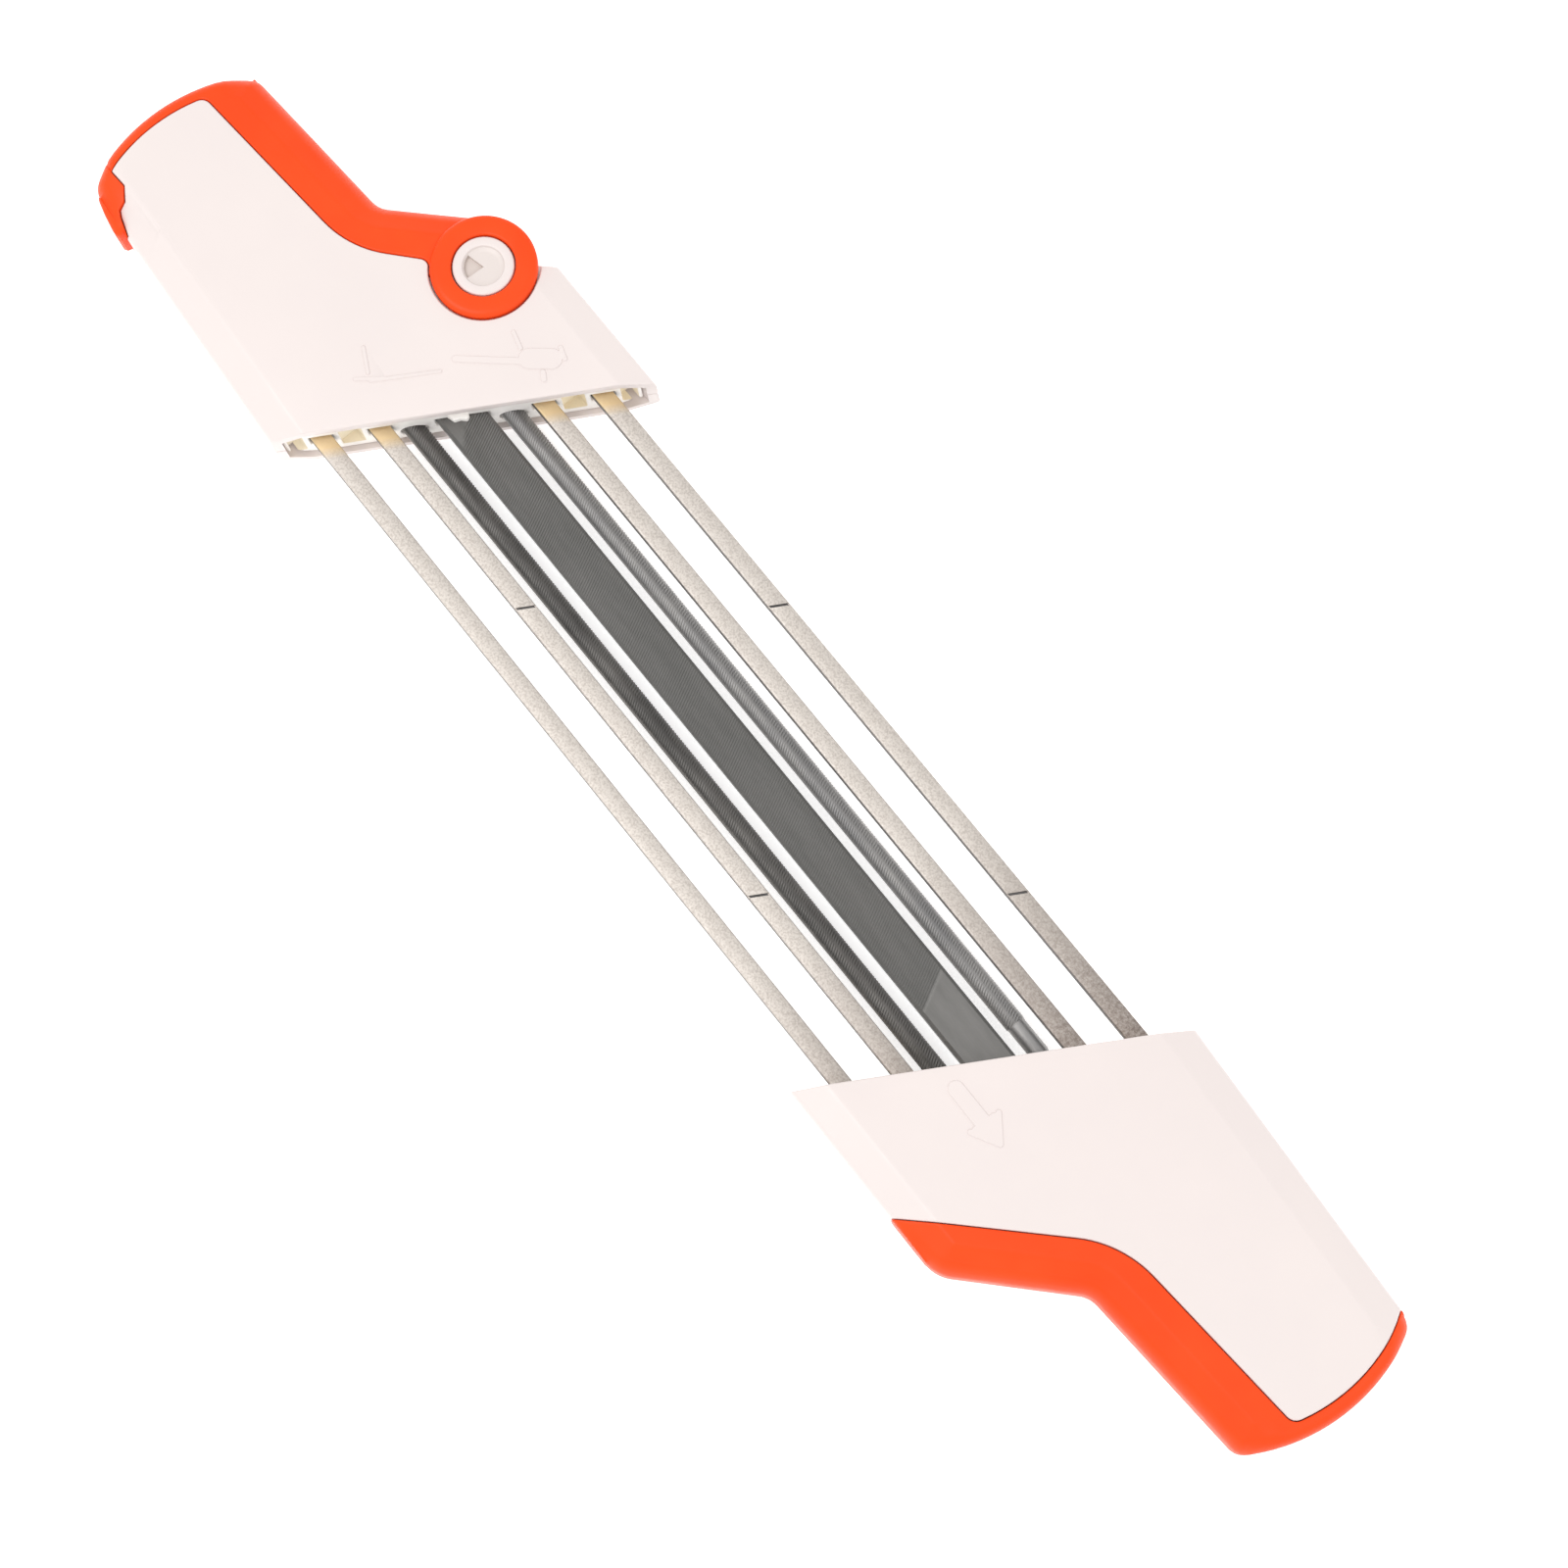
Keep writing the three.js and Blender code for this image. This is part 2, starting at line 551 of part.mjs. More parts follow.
function barSlot(y) {
  const half = BAR_WIDTH / 2 + GAP;
  const end = mouthX(y) + BAR_GRIP + GAP;
  return box([0, y - half, BAR_BOTTOM - GAP], [end, y + half, BAR_TOP + 2 * GAP]);
}

// Coring between the bars and beside the outer ones.
function pockets() {
  const half = BAR_WIDTH / 2 + GAP + POCKET_RIB;
  const spans = [
    [BAR_INNER_Y + half, BAR_OUTER_Y - half],
    [BAR_OUTER_Y + half, HALF_WIDTH - WALL - GAP - POCKET_EDGE],
  ];
  return spans.flatMap(([inner, outer]) => [pocket(inner, outer), pocket(-outer, -inner)]);
}

function pocket(low, high) {
  const floor = 2 * WALL;
  return box([0, low, floor], [mouthX(low) + BLOCK_RECESS + POCKET_DEPTH, high, THICKNESS - floor]);
}

function fileWay(y, endX) {
  return rod(y, ROUND_Z, HOLE_RADIUS, HOLE_RADIUS, 0, endX);
}

function flatWay(halfWidth, startX, endX) {
  const low = FLAT_BOTTOM - GAP;
  return box([startX, -halfWidth - GAP, low], [endX, halfWidth + GAP, FLAT_TOP + GAP]);
}

// The latch handle's block lets all three files slide through to the open end.
function guideBlock() {
  const room = cut(
    blank(LATCH_OUTLINE, WALL + GAP),
    throughPost(LOBE_RADIUS + GAP),
  );
  const block = carrierBlock(room, GUIDE_BLOCK_DEPTH);
  return cut(block, fileWay(-ROUND_Y, FAR), fileWay(ROUND_Y, FAR), flatWay(FLAT_WIDTH / 2, 0, FAR));
}

// The fixed handle's block has a blind socket for each file's tang.
function tangBlock() {
  const inside = blank(FIXED_OUTLINE, WALL + GAP);
  const room = inside.intersect(partingPrism(FIXED_PARTING, WALL + GAP));
  const block = carrierBlock(room, TANG_BLOCK_DEPTH);
  const socketEnd = ROUND_HEEL_X + ROUND_TANG + GAP;
  const flatEnd = FLAT_HEEL_X + GAP;
  return cut(
    block,
    fileWay(-ROUND_Y, socketEnd),
    fileWay(ROUND_Y, socketEnd),
    flatWay(FLAT_WIDTH / 2, 0, flatEnd),
    flatWay(FLAT_TANG_WIDTH / 2, flatEnd - 1, FLAT_HEEL_X + FLAT_TANG + GAP),
  );
}

// ---------------------------------------------------------------- bars and files

// A guide bar with a pin hole near each end, and engraved marks where markXs says.
function guideBar(y, markXs) {
  const halfLength = EXPOSED / 2 + BAR_GRIP;
  const middle = y * SLANT;
  const bar = box(
    [middle - halfLength, y - BAR_WIDTH / 2, BAR_BOTTOM],
    [middle + halfLength, y + BAR_WIDTH / 2, BAR_TOP],
  );
  const holes = [-1, 1].map((end) =>
    post(middle + end * (halfLength - BAR_PIN_INSET), y, BAR_PIN_RADIUS + GAP, 0, THICKNESS, 12),
  );
  return cut(bar, ...holes, ...markXs.map((x) => angleMark(x, y)));
}

// A shallow groove across a bar, parallel to the mouths.
function angleMark(x, y) {
  const half = BAR_WIDTH;
  const points = [
    new THREE.Vector2(x - half * SLANT - MARK_WIDTH / 2, y - half),
    new THREE.Vector2(x - half * SLANT + MARK_WIDTH / 2, y - half),
    new THREE.Vector2(x + half * SLANT + MARK_WIDTH / 2, y + half),
    new THREE.Vector2(x + half * SLANT - MARK_WIDTH / 2, y + half),
  ];
  return prism(points, BAR_TOP - MARK_DEPTH, BAR_TOP + 1);
}

function roundFile(y) {
  const radius = ROUND_DIAMETER / 2;
  const profile = [
    [TIP_X, 0],
    [TIP_X, radius - ROUND_CHAMFER],
    [TIP_X + ROUND_CHAMFER, radius],
    [ROUND_HEEL_X, radius],
    [ROUND_HEEL_X + ROUND_TANG, radius * ROUND_TANG_SHARE],
    [ROUND_HEEL_X + ROUND_TANG, 0],
  ];
  const points = profile.map(([x, r]) => new THREE.Vector2(r, x));
  const geometry = new THREE.LatheGeometry(points, 16);
  geometry.rotateZ(-Math.PI / 2); // the turning axis, y, becomes x
  geometry.translate(0, y, ROUND_Z);
  return solidOf(geometry);
}

function flatFile() {
  const chamfer = FLAT_CHAMFER;
  const half = FLAT_WIDTH / 2;
  const section = new THREE.Shape([
    new THREE.Vector2(-half, FLAT_BOTTOM + chamfer),
    new THREE.Vector2(-half + chamfer, FLAT_BOTTOM),
    new THREE.Vector2(half - chamfer, FLAT_BOTTOM),
    new THREE.Vector2(half, FLAT_BOTTOM + chamfer),
    new THREE.Vector2(half, FLAT_TOP - chamfer),
    new THREE.Vector2(half - chamfer, FLAT_TOP),
    new THREE.Vector2(-half + chamfer, FLAT_TOP),
    new THREE.Vector2(-half, FLAT_TOP - chamfer),
  ]);
  const length = FLAT_HEEL_X - TIP_X;
  const geometry = new THREE.ExtrudeGeometry(section, { depth: length, bevelEnabled: false });
  geometry.rotateX(Math.PI / 2); // the section stands up
  geometry.rotateZ(Math.PI / 2); // and runs along X
  geometry.translate(TIP_X, 0, 0);
  const tangHalf = FLAT_TANG_WIDTH / 2;
  const tang = box(
    [FLAT_HEEL_X - 1, -tangHalf, FLAT_BOTTOM + FLAT_TANG_STEP],
    [FLAT_HEEL_X + FLAT_TANG, tangHalf, FLAT_TOP - FLAT_TANG_STEP],
  );
  return join(solidOf(geometry), tang);
}

// ---------------------------------------------------------------- materials

const finish = (color, roughness, metalness) =>
  new THREE.MeshStandardMaterial({ color, roughness, metalness });

const WHITE_PLASTIC = finish(0xf4efec, 0.45, 0);
const ORANGE_PLASTIC = finish(0xff5a26, 0.42, 0);
const CREAM_NYLON = finish(0xefe0c0, 0.5, 0);
const BAR_STEEL = finish(0xc9bfb6, 0.45, 0.9);
const FILE_STEEL = finish(0x5c5b5a, 0.5, 0.85);
const PIN_STEEL = finish(0xa8a8a8, 0.35, 1);

// ---------------------------------------------------------------- assembly

const tool = new THREE.Group();
const latchHandle = new THREE.Group();
latchHandle.rotation.z = Math.PI; // the handle frame's drawings, turned half round
tool.add(latchHandle);

function place(group, name, solid, material) {
  const mesh = new THREE.Mesh(geometryOf(solid), material);
  mesh.name = name;
  group.add(mesh);
}

const fixed = fixedShells();
place(tool, 'fixed_handle_top_shell', fixed.top, WHITE_PLASTIC);
place(tool, 'fixed_handle_bottom_shell', fixed.bottom, WHITE_PLASTIC);
place(tool, 'fixed_handle_grip', fixedGrip(), ORANGE_PLASTIC);
place(tool, 'tang_block', tangBlock(), CREAM_NYLON);

const latch = latchShells();
place(latchHandle, 'latch_handle_top_shell', latch.top, WHITE_PLASTIC);
place(latchHandle, 'latch_handle_bottom_shell', latch.bottom, WHITE_PLASTIC);
place(latchHandle, 'lock_lever', lockLever(), ORANGE_PLASTIC);
place(latchHandle, 'pivot_pin', pivotPin(), WHITE_PLASTIC);
place(latchHandle, 'pivot_cap', pivotCap(), WHITE_PLASTIC);
place(latchHandle, 'guide_block', guideBlock(), CREAM_NYLON);

for (const [row, y] of BAR_ROWS) {
  place(tool, `guide_bar_${row}`, guideBar(y, MARKS[row] ?? []), BAR_STEEL);
  const low = WALL + 2 * GAP;
  for (const [end, side] of [['fixed', 1], ['latch', -1]]) {
    const pin = post(side * barPinX(side * y), y, BAR_PIN_RADIUS, low, THICKNESS - low, 12);
    place(tool, `bar_pin_${end}_${row}`, pin, PIN_STEEL);
  }
}

place(tool, 'round_file_left', roundFile(-ROUND_Y), FILE_STEEL);
place(tool, 'round_file_right', roundFile(ROUND_Y), FILE_STEEL);
place(tool, 'flat_file', flatFile(), FILE_STEEL);

export default tool;
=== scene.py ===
"""Looks of a two-in-one chainsaw filing guide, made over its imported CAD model.

Every mesh is drawn in millimetres, in the CAD model's frame: +X along the files towards the fixed
handle, +Y across the tool, +Z up. Both handles are drawn at the +X end, which is called the handle
frame here, and the latch handle's pieces are then turned half round about Z into place.
"""

import json
import logging
import math
from collections.abc import Callable, Sequence
from dataclasses import dataclass, field
from enum import Enum

import bmesh
import bpy
import numpy as np
from mathutils import Matrix, Vector
from mathutils.geometry import delaunay_2d_cdt


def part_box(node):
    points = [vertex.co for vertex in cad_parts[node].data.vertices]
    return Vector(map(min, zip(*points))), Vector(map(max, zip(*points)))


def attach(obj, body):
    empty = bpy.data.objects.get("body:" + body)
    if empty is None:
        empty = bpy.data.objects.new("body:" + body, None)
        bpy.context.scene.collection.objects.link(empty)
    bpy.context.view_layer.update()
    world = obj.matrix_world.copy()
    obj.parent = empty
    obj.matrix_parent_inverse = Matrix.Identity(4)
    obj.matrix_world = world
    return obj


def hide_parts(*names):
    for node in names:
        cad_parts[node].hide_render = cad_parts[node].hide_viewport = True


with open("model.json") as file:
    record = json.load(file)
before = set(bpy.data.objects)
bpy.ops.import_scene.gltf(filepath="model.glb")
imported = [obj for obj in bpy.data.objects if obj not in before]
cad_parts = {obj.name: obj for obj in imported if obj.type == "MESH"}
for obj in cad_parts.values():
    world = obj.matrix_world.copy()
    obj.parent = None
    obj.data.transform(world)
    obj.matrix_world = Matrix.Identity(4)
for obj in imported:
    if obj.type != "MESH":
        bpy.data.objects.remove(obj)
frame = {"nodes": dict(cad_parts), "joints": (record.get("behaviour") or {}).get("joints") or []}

LOG = logging.getLogger("filing_guide")
MM = 0.001
EPSILON = 1e-9
SMALLEST_FILLET = 0.4
BATCH = 4000  # points measured at a time, which bounds the memory used

Points = np.ndarray
Height = Callable[[Points], np.ndarray]
Corner = tuple[float, float, float]
Colour = tuple[float, float, float]


class Slot(Enum):
    """The record's material slots, which the pieces made here are passed with."""

    WHITE = "white_plastic"
    ORANGE = "orange_plastic"
    CREAM = "cream_nylon"
    BAR = "bar_steel"
    FILE = "file_steel"


class Body(Enum):
    """The bodies that pieces ride on."""

    GUIDE = "guide_body"
    LEVER = "lock_lever"
    LEFT_FILE = "round_file_left"
    RIGHT_FILE = "round_file_right"


# ---------------------------------------------------------------- plan geometry


def box_mm(node: str) -> tuple[Points, Points]:
    """Reads the box of a CAD node.

    Args:
        node: the CAD node's name.

    Returns:
        Its lowest and highest corner, in millimetres.
    """
    low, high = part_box(node)
    return np.array(low) / MM, np.array(high) / MM


def unit(vector: Points) -> Points:
    """The vector at a length of one."""
    return vector / max(float(np.hypot(*vector)), EPSILON)


def turn_at(before: Points, at: Points, after: Points) -> float:
    """The angle that a line turns through at a corner, positive to the left."""
    inward, outward = unit(at - before), unit(after - at)
    return math.atan2(inward[0] * outward[1] - inward[1] * outward[0], float(inward @ outward))


def fillet(before: Points, at: Points, after: Points, radius: float, tolerance: float) -> list[Points]:
    """Rounds one corner of an outline.

    Args:
        before: the corner before it.
        at: the corner itself.
        after: the corner after it.
        radius: the fillet's radius.
        tolerance: the chord error allowed.

    Returns:
        The points of the rounded corner.
    """
    turn = turn_at(before, at, after)
    if radius < 0.05 or abs(turn) < 1e-3:
        return [at]
    inward = unit(at - before)
    start = at - inward * radius * math.tan(abs(turn) / 2)
    side = math.copysign(1.0, turn)
    centre = start + np.array([-inward[1], inward[0]]) * side * radius
    step = 2 * math.acos(1 - tolerance / max(radius, 1.0))
    steps = max(3, math.ceil(abs(turn) / step))
    arm = start - centre
    points = []
    for i in range(steps + 1):
        angle = turn * i / steps
        c, s = math.cos(angle), math.sin(angle)
        points.append(centre + np.array([c * arm[0] - s * arm[1], s * arm[0] + c * arm[1]]))
    return points


def inset_corners(corners: Sequence[Corner], inset: float) -> list[tuple[Points, float]]:
    """Moves an outline's corners inwards.

    Args:
        corners: the corners, counter-clockwise, each with its fillet radius.
        inset: how far they move; an inner radius shrinks and an outer one grows.

    Returns:
        Each moved corner with its new radius.
    """
    places = [np.array(corner[:2], float) for corner in corners]
    moved = []
    for i, at in enumerate(places):
        inward = unit(at - places[i - 1])
        outward = unit(places[(i + 1) % len(places)] - at)
        side = math.copysign(1.0, inward[0] * outward[1] - inward[1] * outward[0])
        normal = np.array([-inward[1] - outward[1], inward[0] + outward[0]])
        radius = corners[i][2]
        new_radius = max(radius - side * inset, SMALLEST_FILLET) if radius > 0 else 0.0
        moved.append((at + normal * inset / (1 + float(inward @ outward)), new_radius))
    return moved


def grown(loop: Points, width: float) -> Points:
    """Moves a plain polygon's sides outwards by a width."""
    return shrunk(loop, -width)


def shrunk(loop: Points, width: float) -> Points:
    """Moves a plain polygon's sides inwards by a width, whichever way it runs."""
    area = float((loop[:, 0] * np.roll(loop[:, 1], -1) - np.roll(loop[:, 0], -1) * loop[:, 1]).sum())
    ordered = loop if area > 0 else loop[::-1]
    corners = [(float(x), float(y), 0.0) for x, y in ordered]
    return np.array([at for at, _ in inset_corners(corners, width)])


def rounded(corners: Sequence[Corner], inset: float = 0.0, tolerance: float = 0.012) -> Points:
    """Draws a rounded polygon.

    Args:
        corners: its corners, counter-clockwise, each with its fillet radius.
        inset: how far the polygon is moved inwards.
        tolerance: the chord error of its arcs.

    Returns:
        The polygon's points.
    """
    moved = inset_corners(corners, inset)
    count = len(moved)
    reach = []
    for i, (at, radius) in enumerate(moved):
        turn = turn_at(moved[i - 1][0], at, moved[(i + 1) % count][0])
        reach.append(radius * math.tan(abs(turn) / 2))
    fits = []
    for i, (at, _) in enumerate(moved):
        wanted = reach[i] + reach[(i + 1) % count] + 1e-6
        length = float(np.hypot(*(moved[(i + 1) % count][0] - at)))
        fits.append(min(1.0, 0.98 * length / wanted))
    points: list[Points] = []
    for i, (at, radius) in enumerate(moved):
        fitted = radius * min(fits[i], fits[i - 1])
        points += fillet(moved[i - 1][0], at, moved[(i + 1) % count][0], fitted, tolerance)
    return np.array(points)


def circle(centre: Points, radius: float, sides: int = 72) -> Points:
    """The points of a circle, counter-clockwise."""
    angles = np.linspace(0, 2 * math.pi, sides, endpoint=False)
    return np.stack([centre[0] + radius * np.cos(angles), centre[1] + radius * np.sin(angles)], axis=1)


def rectangle(low: Sequence[float], high: Sequence[float]) -> Points:
    """The corners of an upright rectangle, counter-clockwise."""
    return np.array([[low[0], low[1]], [high[0], low[1]], [high[0], high[1]], [low[0], high[1]]], float)


def capsule(start: Points, end: Points, radius: float, sides: int = 12) -> Points:
    """The outline of a stroke with round ends.

    Args:
        start: one end of the stroke's middle line.
        end: its other end.
        radius: half the stroke's width.
        sides: how many sides each round end has.

    Returns:
        The outline's points, counter-clockwise.
    """
    heading = math.atan2(end[1] - start[1], end[0] - start[0])
    points = []
    for centre, first in ((end, heading - math.pi / 2), (start, heading + math.pi / 2)):
        for i in range(sides + 1):
            angle = first + math.pi * i / sides
            points.append([centre[0] + radius * math.cos(angle), centre[1] + radius * math.sin(angle)])
    return np.array(points)


def distance(points: Points, line: Points, closed: bool = True) -> np.ndarray:
    """Measures how far points lie from a line.

    Args:
        points: the places to measure.
        line: the line's points.
        closed: whether the line runs back to its start.

    Returns:
        Each point's distance, never negative.
    """
    starts = line if closed else line[:-1]
    ends = np.roll(line, -1, axis=0) if closed else line[1:]
    span = ends - starts
    length = np.maximum((span**2).sum(1), EPSILON)
    found = np.empty(len(points))
    for first in range(0, len(points), BATCH):
        part = points[first : first + BATCH]
        away = part[:, None, :] - starts[None]
        share = np.clip((away * span[None]).sum(2) / length[None], 0, 1)
        gap = away - share[:, :, None] * span[None]
        found[first : first + BATCH] = np.sqrt((gap**2).sum(2)).min(1)
    return found


def contains(points: Points, loop: Points) -> np.ndarray:
    """Tells which points lie inside a closed outline.

    Args:
        points: the places to test.
        loop: the outline.

    Returns:
        True for each point that is inside.
    """
    a, b = loop, np.roll(loop, -1, axis=0)
    found = np.zeros(len(points), bool)
    for first in range(0, len(points), BATCH):
        x, y = points[first : first + BATCH, 0, None], points[first : first + BATCH, 1, None]
        crosses = (a[None, :, 1] > y) != (b[None, :, 1] > y)
        rise = np.where(np.abs(b[:, 1] - a[:, 1]) < EPSILON, EPSILON, b[:, 1] - a[:, 1])
        at = a[None, :, 0] + (y - a[None, :, 1]) / rise[None] * (b[:, 0] - a[:, 0])[None]
        found[first : first + BATCH] = (crosses & (x < at)).sum(1) % 2 == 1
    return found


def soft_over(value: np.ndarray, softness: float = 0.18) -> np.ndarray:
    """The larger of the value and nought, with the bend between them eased."""
    eased = (value + softness) ** 2 / (4 * softness)
    return np.where(value > softness, value, np.where(value < -softness, 0.0, eased))


def level(height: float) -> Height:
    """A surface that is level all over."""
    return lambda points: np.full(len(points), height)


def edge_drop(depth: np.ndarray, width: float, drop: float) -> np.ndarray:
    """How far a rounded edge falls.

    Args:
        depth: distances in from the edge.
        width: how wide the rounding is.
        drop: how far it has fallen at the edge itself.

    Returns:
        The fall at each distance.
    """
    share = np.clip((width - depth) / width, 0, 1)
    return drop * (1 - np.sqrt(np.maximum(1 - share**2, 0)))


def smooth_step(value: np.ndarray) -> np.ndarray:
    """Eases from nought to one."""
    held = np.clip(value, 0, 1)
    return held * held * (3 - 2 * held)


# ---------------------------------------------------------------- shapes


@dataclass
class Shape:
    """Vertices in millimetres with faces, and a finish number for each face."""

    vertices: Points
    faces: list[tuple[int, ...]]
    tags: list[int] = field(default_factory=list)

    def __post_init__(self) -> None:
        """Gives every face the first finish if none is said."""
        if not self.tags:
            self.tags = [0] * len(self.faces)

    def mapped(self, place: Callable[[Points], Points], mirrored: bool = False) -> "Shape":
        """Moves every vertex.

        Args:
            place: takes and gives an array of points.
            mirrored: whether the move turns the shape inside out, so that faces are turned back.

        Returns:
            The moved shape.
        """
        faces = [tuple(reversed(face)) for face in self.faces] if mirrored else list(self.faces)
        return Shape(place(self.vertices), faces, list(self.tags))

    def turned(self) -> "Shape":
        """The shape turned half round about Z."""
        return self.mapped(lambda v: v * np.array([-1.0, -1.0, 1.0]))

    def underside(self, height: float) -> "Shape":
        """The shape's mirror image in a level plane at half the height given."""
        return self.mapped(lambda v: np.stack([v[:, 0], v[:, 1], height - v[:, 2]], axis=1), True)

    def joined(self, *others: "Shape") -> "Shape":
        """This shape and others as one."""
        vertices, faces, tags = [self.vertices], list(self.faces), list(self.tags)
        count = len(self.vertices)
        for other in others:
            vertices.append(other.vertices)
            faces += [tuple(i + count for i in face) for face in other.faces]
            tags += other.tags
            count += len(other.vertices)
        return Shape(np.concatenate(vertices), faces, tags)


@dataclass
class Slab:
    """A moulded solid over a plan: one upper surface, and a lower surface for each zone of the plan.

    Attributes:
        zone: gives each point's zone number, or -1 outside the plan.
        top: height of the upper surface.
        floors: height of the lower surface of each zone.
        loops: closed lines that the plan is split along.
        paths: open lines that it is split along.
        open_zones: zones with no lower faces, where the slab is welded to its mirror image.
        floor_tags: finish number of each zone's lower faces.
    """

    zone: Callable[[Points], np.ndarray]
    top: Height
    floors: Sequence[Height]
    loops: Sequence[Points]
    paths: Sequence[Points] = ()
    open_zones: frozenset[int] = frozenset()
    floor_tags: Sequence[int] = ()

    def triangles(self) -> tuple[Points, np.ndarray]:
        """Splits the plan along every line.

        Returns:
            The plan's points, and its triangles as rows of three point numbers.
        """
        places: list[Vector] = []
        edges: list[tuple[int, int]] = []
        for line, closed in [(loop, True) for loop in self.loops] + [(path, False) for path in self.paths]:
            first, count = len(places), len(line)
            places += [Vector((float(x), float(y))) for x, y in line]
            edges += [(first + i, first + i + 1) for i in range(count - 1)]
            if closed:
                edges.append((first + count - 1, first))
        found = delaunay_2d_cdt(places, edges, [], 0, 1e-4)
        points = np.array([[p.x, p.y] for p in found[0]])
        corners = np.array([face for face in found[2] if len(face) == 3], int)
        a, b, c = (points[corners[:, i]] for i in range(3))
        area = (b[:, 0] - a[:, 0]) * (c[:, 1] - a[:, 1]) - (b[:, 1] - a[:, 1]) * (c[:, 0] - a[:, 0])
        corners[area < 0] = corners[area < 0][:, ::-1]
        return points, corners[np.abs(area) > 1e-7]

    def shape(self) -> Shape:
        """Builds the closed mesh.

        Returns:
            The slab's shape.
        """
        points, corners = self.triangles()
        zones = self.zone(points[corners].mean(axis=1))
        corners, zones = corners[zones >= 0], zones[zones >= 0]
        heights = [self.top(points), *(floor(points) for floor in self.floors)]
        vertices: list[tuple[float, float, float]] = []
        numbers: dict[tuple[int, int], int] = {}
        levels_at: dict[int, set[int]] = {}
        for row, zone in zip(corners.tolist(), zones.tolist()):
            for i in row:
                levels_at.setdefault(i, set()).add(zone + 1)

        def vertex(i: int, level: int) -> int:
            """The number of a plan point's vertex on one surface."""
            key = (i, level)
            if key not in numbers:
                numbers[key] = len(vertices)
                vertices.append((points[i, 0], points[i, 1], float(heights[level][i])))
            return numbers[key]

        def column(i: int, upper: int, lower: int) -> list[int]:
            """A wall's vertices over one plan point, from its upper surface down to its lower one."""
            high, low = heights[upper][i], heights[lower][i]
            between = [
                level
                for level in levels_at[i]
                if level not in (upper, lower) and low + 1e-6 < heights[level][i] < high - 1e-6
            ]
            between.sort(key=lambda level: -heights[level][i])
            return [vertex(i, level) for level in (upper, *between, lower)]

        faces: list[tuple[int, ...]] = []
        tags: list[int] = []
        owner: dict[tuple[int, int], int] = {}
        for row, zone in zip(corners.tolist(), zones.tolist()):
            for i in range(3):
                owner[(row[i], row[(i + 1) % 3])] = zone
        for row, zone in zip(corners.tolist(), zones.tolist()):
            a, b, c = row
            faces.append((vertex(a, 0), vertex(b, 0), vertex(c, 0)))
            tags.append(0)
            floor_tag = self.floor_tags[zone] if self.floor_tags else 0
            if zone not in self.open_zones:
                faces.append((vertex(c, zone + 1), vertex(b, zone + 1), vertex(a, zone + 1)))
                tags.append(floor_tag)
            for start, end in ((a, b), (b, c), (c, a)):
                beyond = owner.get((end, start))
                if beyond is None:
                    upper = 0
                elif beyond == zone:
                    continue
                else:
                    upper = beyond + 1
                    middle = (heights[zone + 1][start] + heights[zone + 1][end]) / 2
                    if middle >= (heights[upper][start] + heights[upper][end]) / 2:
                        continue
                left, right = column(start, upper, zone + 1), column(end, upper, zone + 1)
                wall = left + right[::-1]
                faces.append(tuple(wall))
                tags.append(max(floor_tag, self.floor_tags[beyond] if self.floor_tags and beyond else 0))
        return Shape(np.array(vertices), faces, tags)


@dataclass
class Lathe:
    """A solid turned about a line along X.

    Attributes:
        profile: [x, radius] along the outline, from one end to the other.
        sides: how many sides it has.
    """

    profile: Sequence[tuple[float, float]]
    sides: int = 48

    def shape(self, y: float, z: float) -> Shape:
        """Builds the mesh about the line at y and z."""
        angles = np.linspace(0, 2 * math.pi, self.sides, endpoint=False)
        rows = []
        for x, radius in self.profile:
            columns = [np.full(self.sides, x), radius * np.cos(angles), radius * np.sin(angles)]
            rows.append(np.stack(columns, axis=1))
        vertices = np.concatenate(rows) + np.array([0, y, z])
        faces: list[tuple[int, ...]] = []
        n = self.sides
        for row in range(len(self.profile) - 1):
            for i in range(n):
                j = (i + 1) % n
                faces.append((row * n + i, row * n + j, (row + 1) * n + j, (row + 1) * n + i))
        faces.append(tuple(range(n - 1, -1, -1)))
        last = (len(self.profile) - 1) * n
        faces.append(tuple(range(last, last + n)))
        return Shape(vertices, [tuple(reversed(face)) for face in faces])


# ---------------------------------------------------------------- finishes


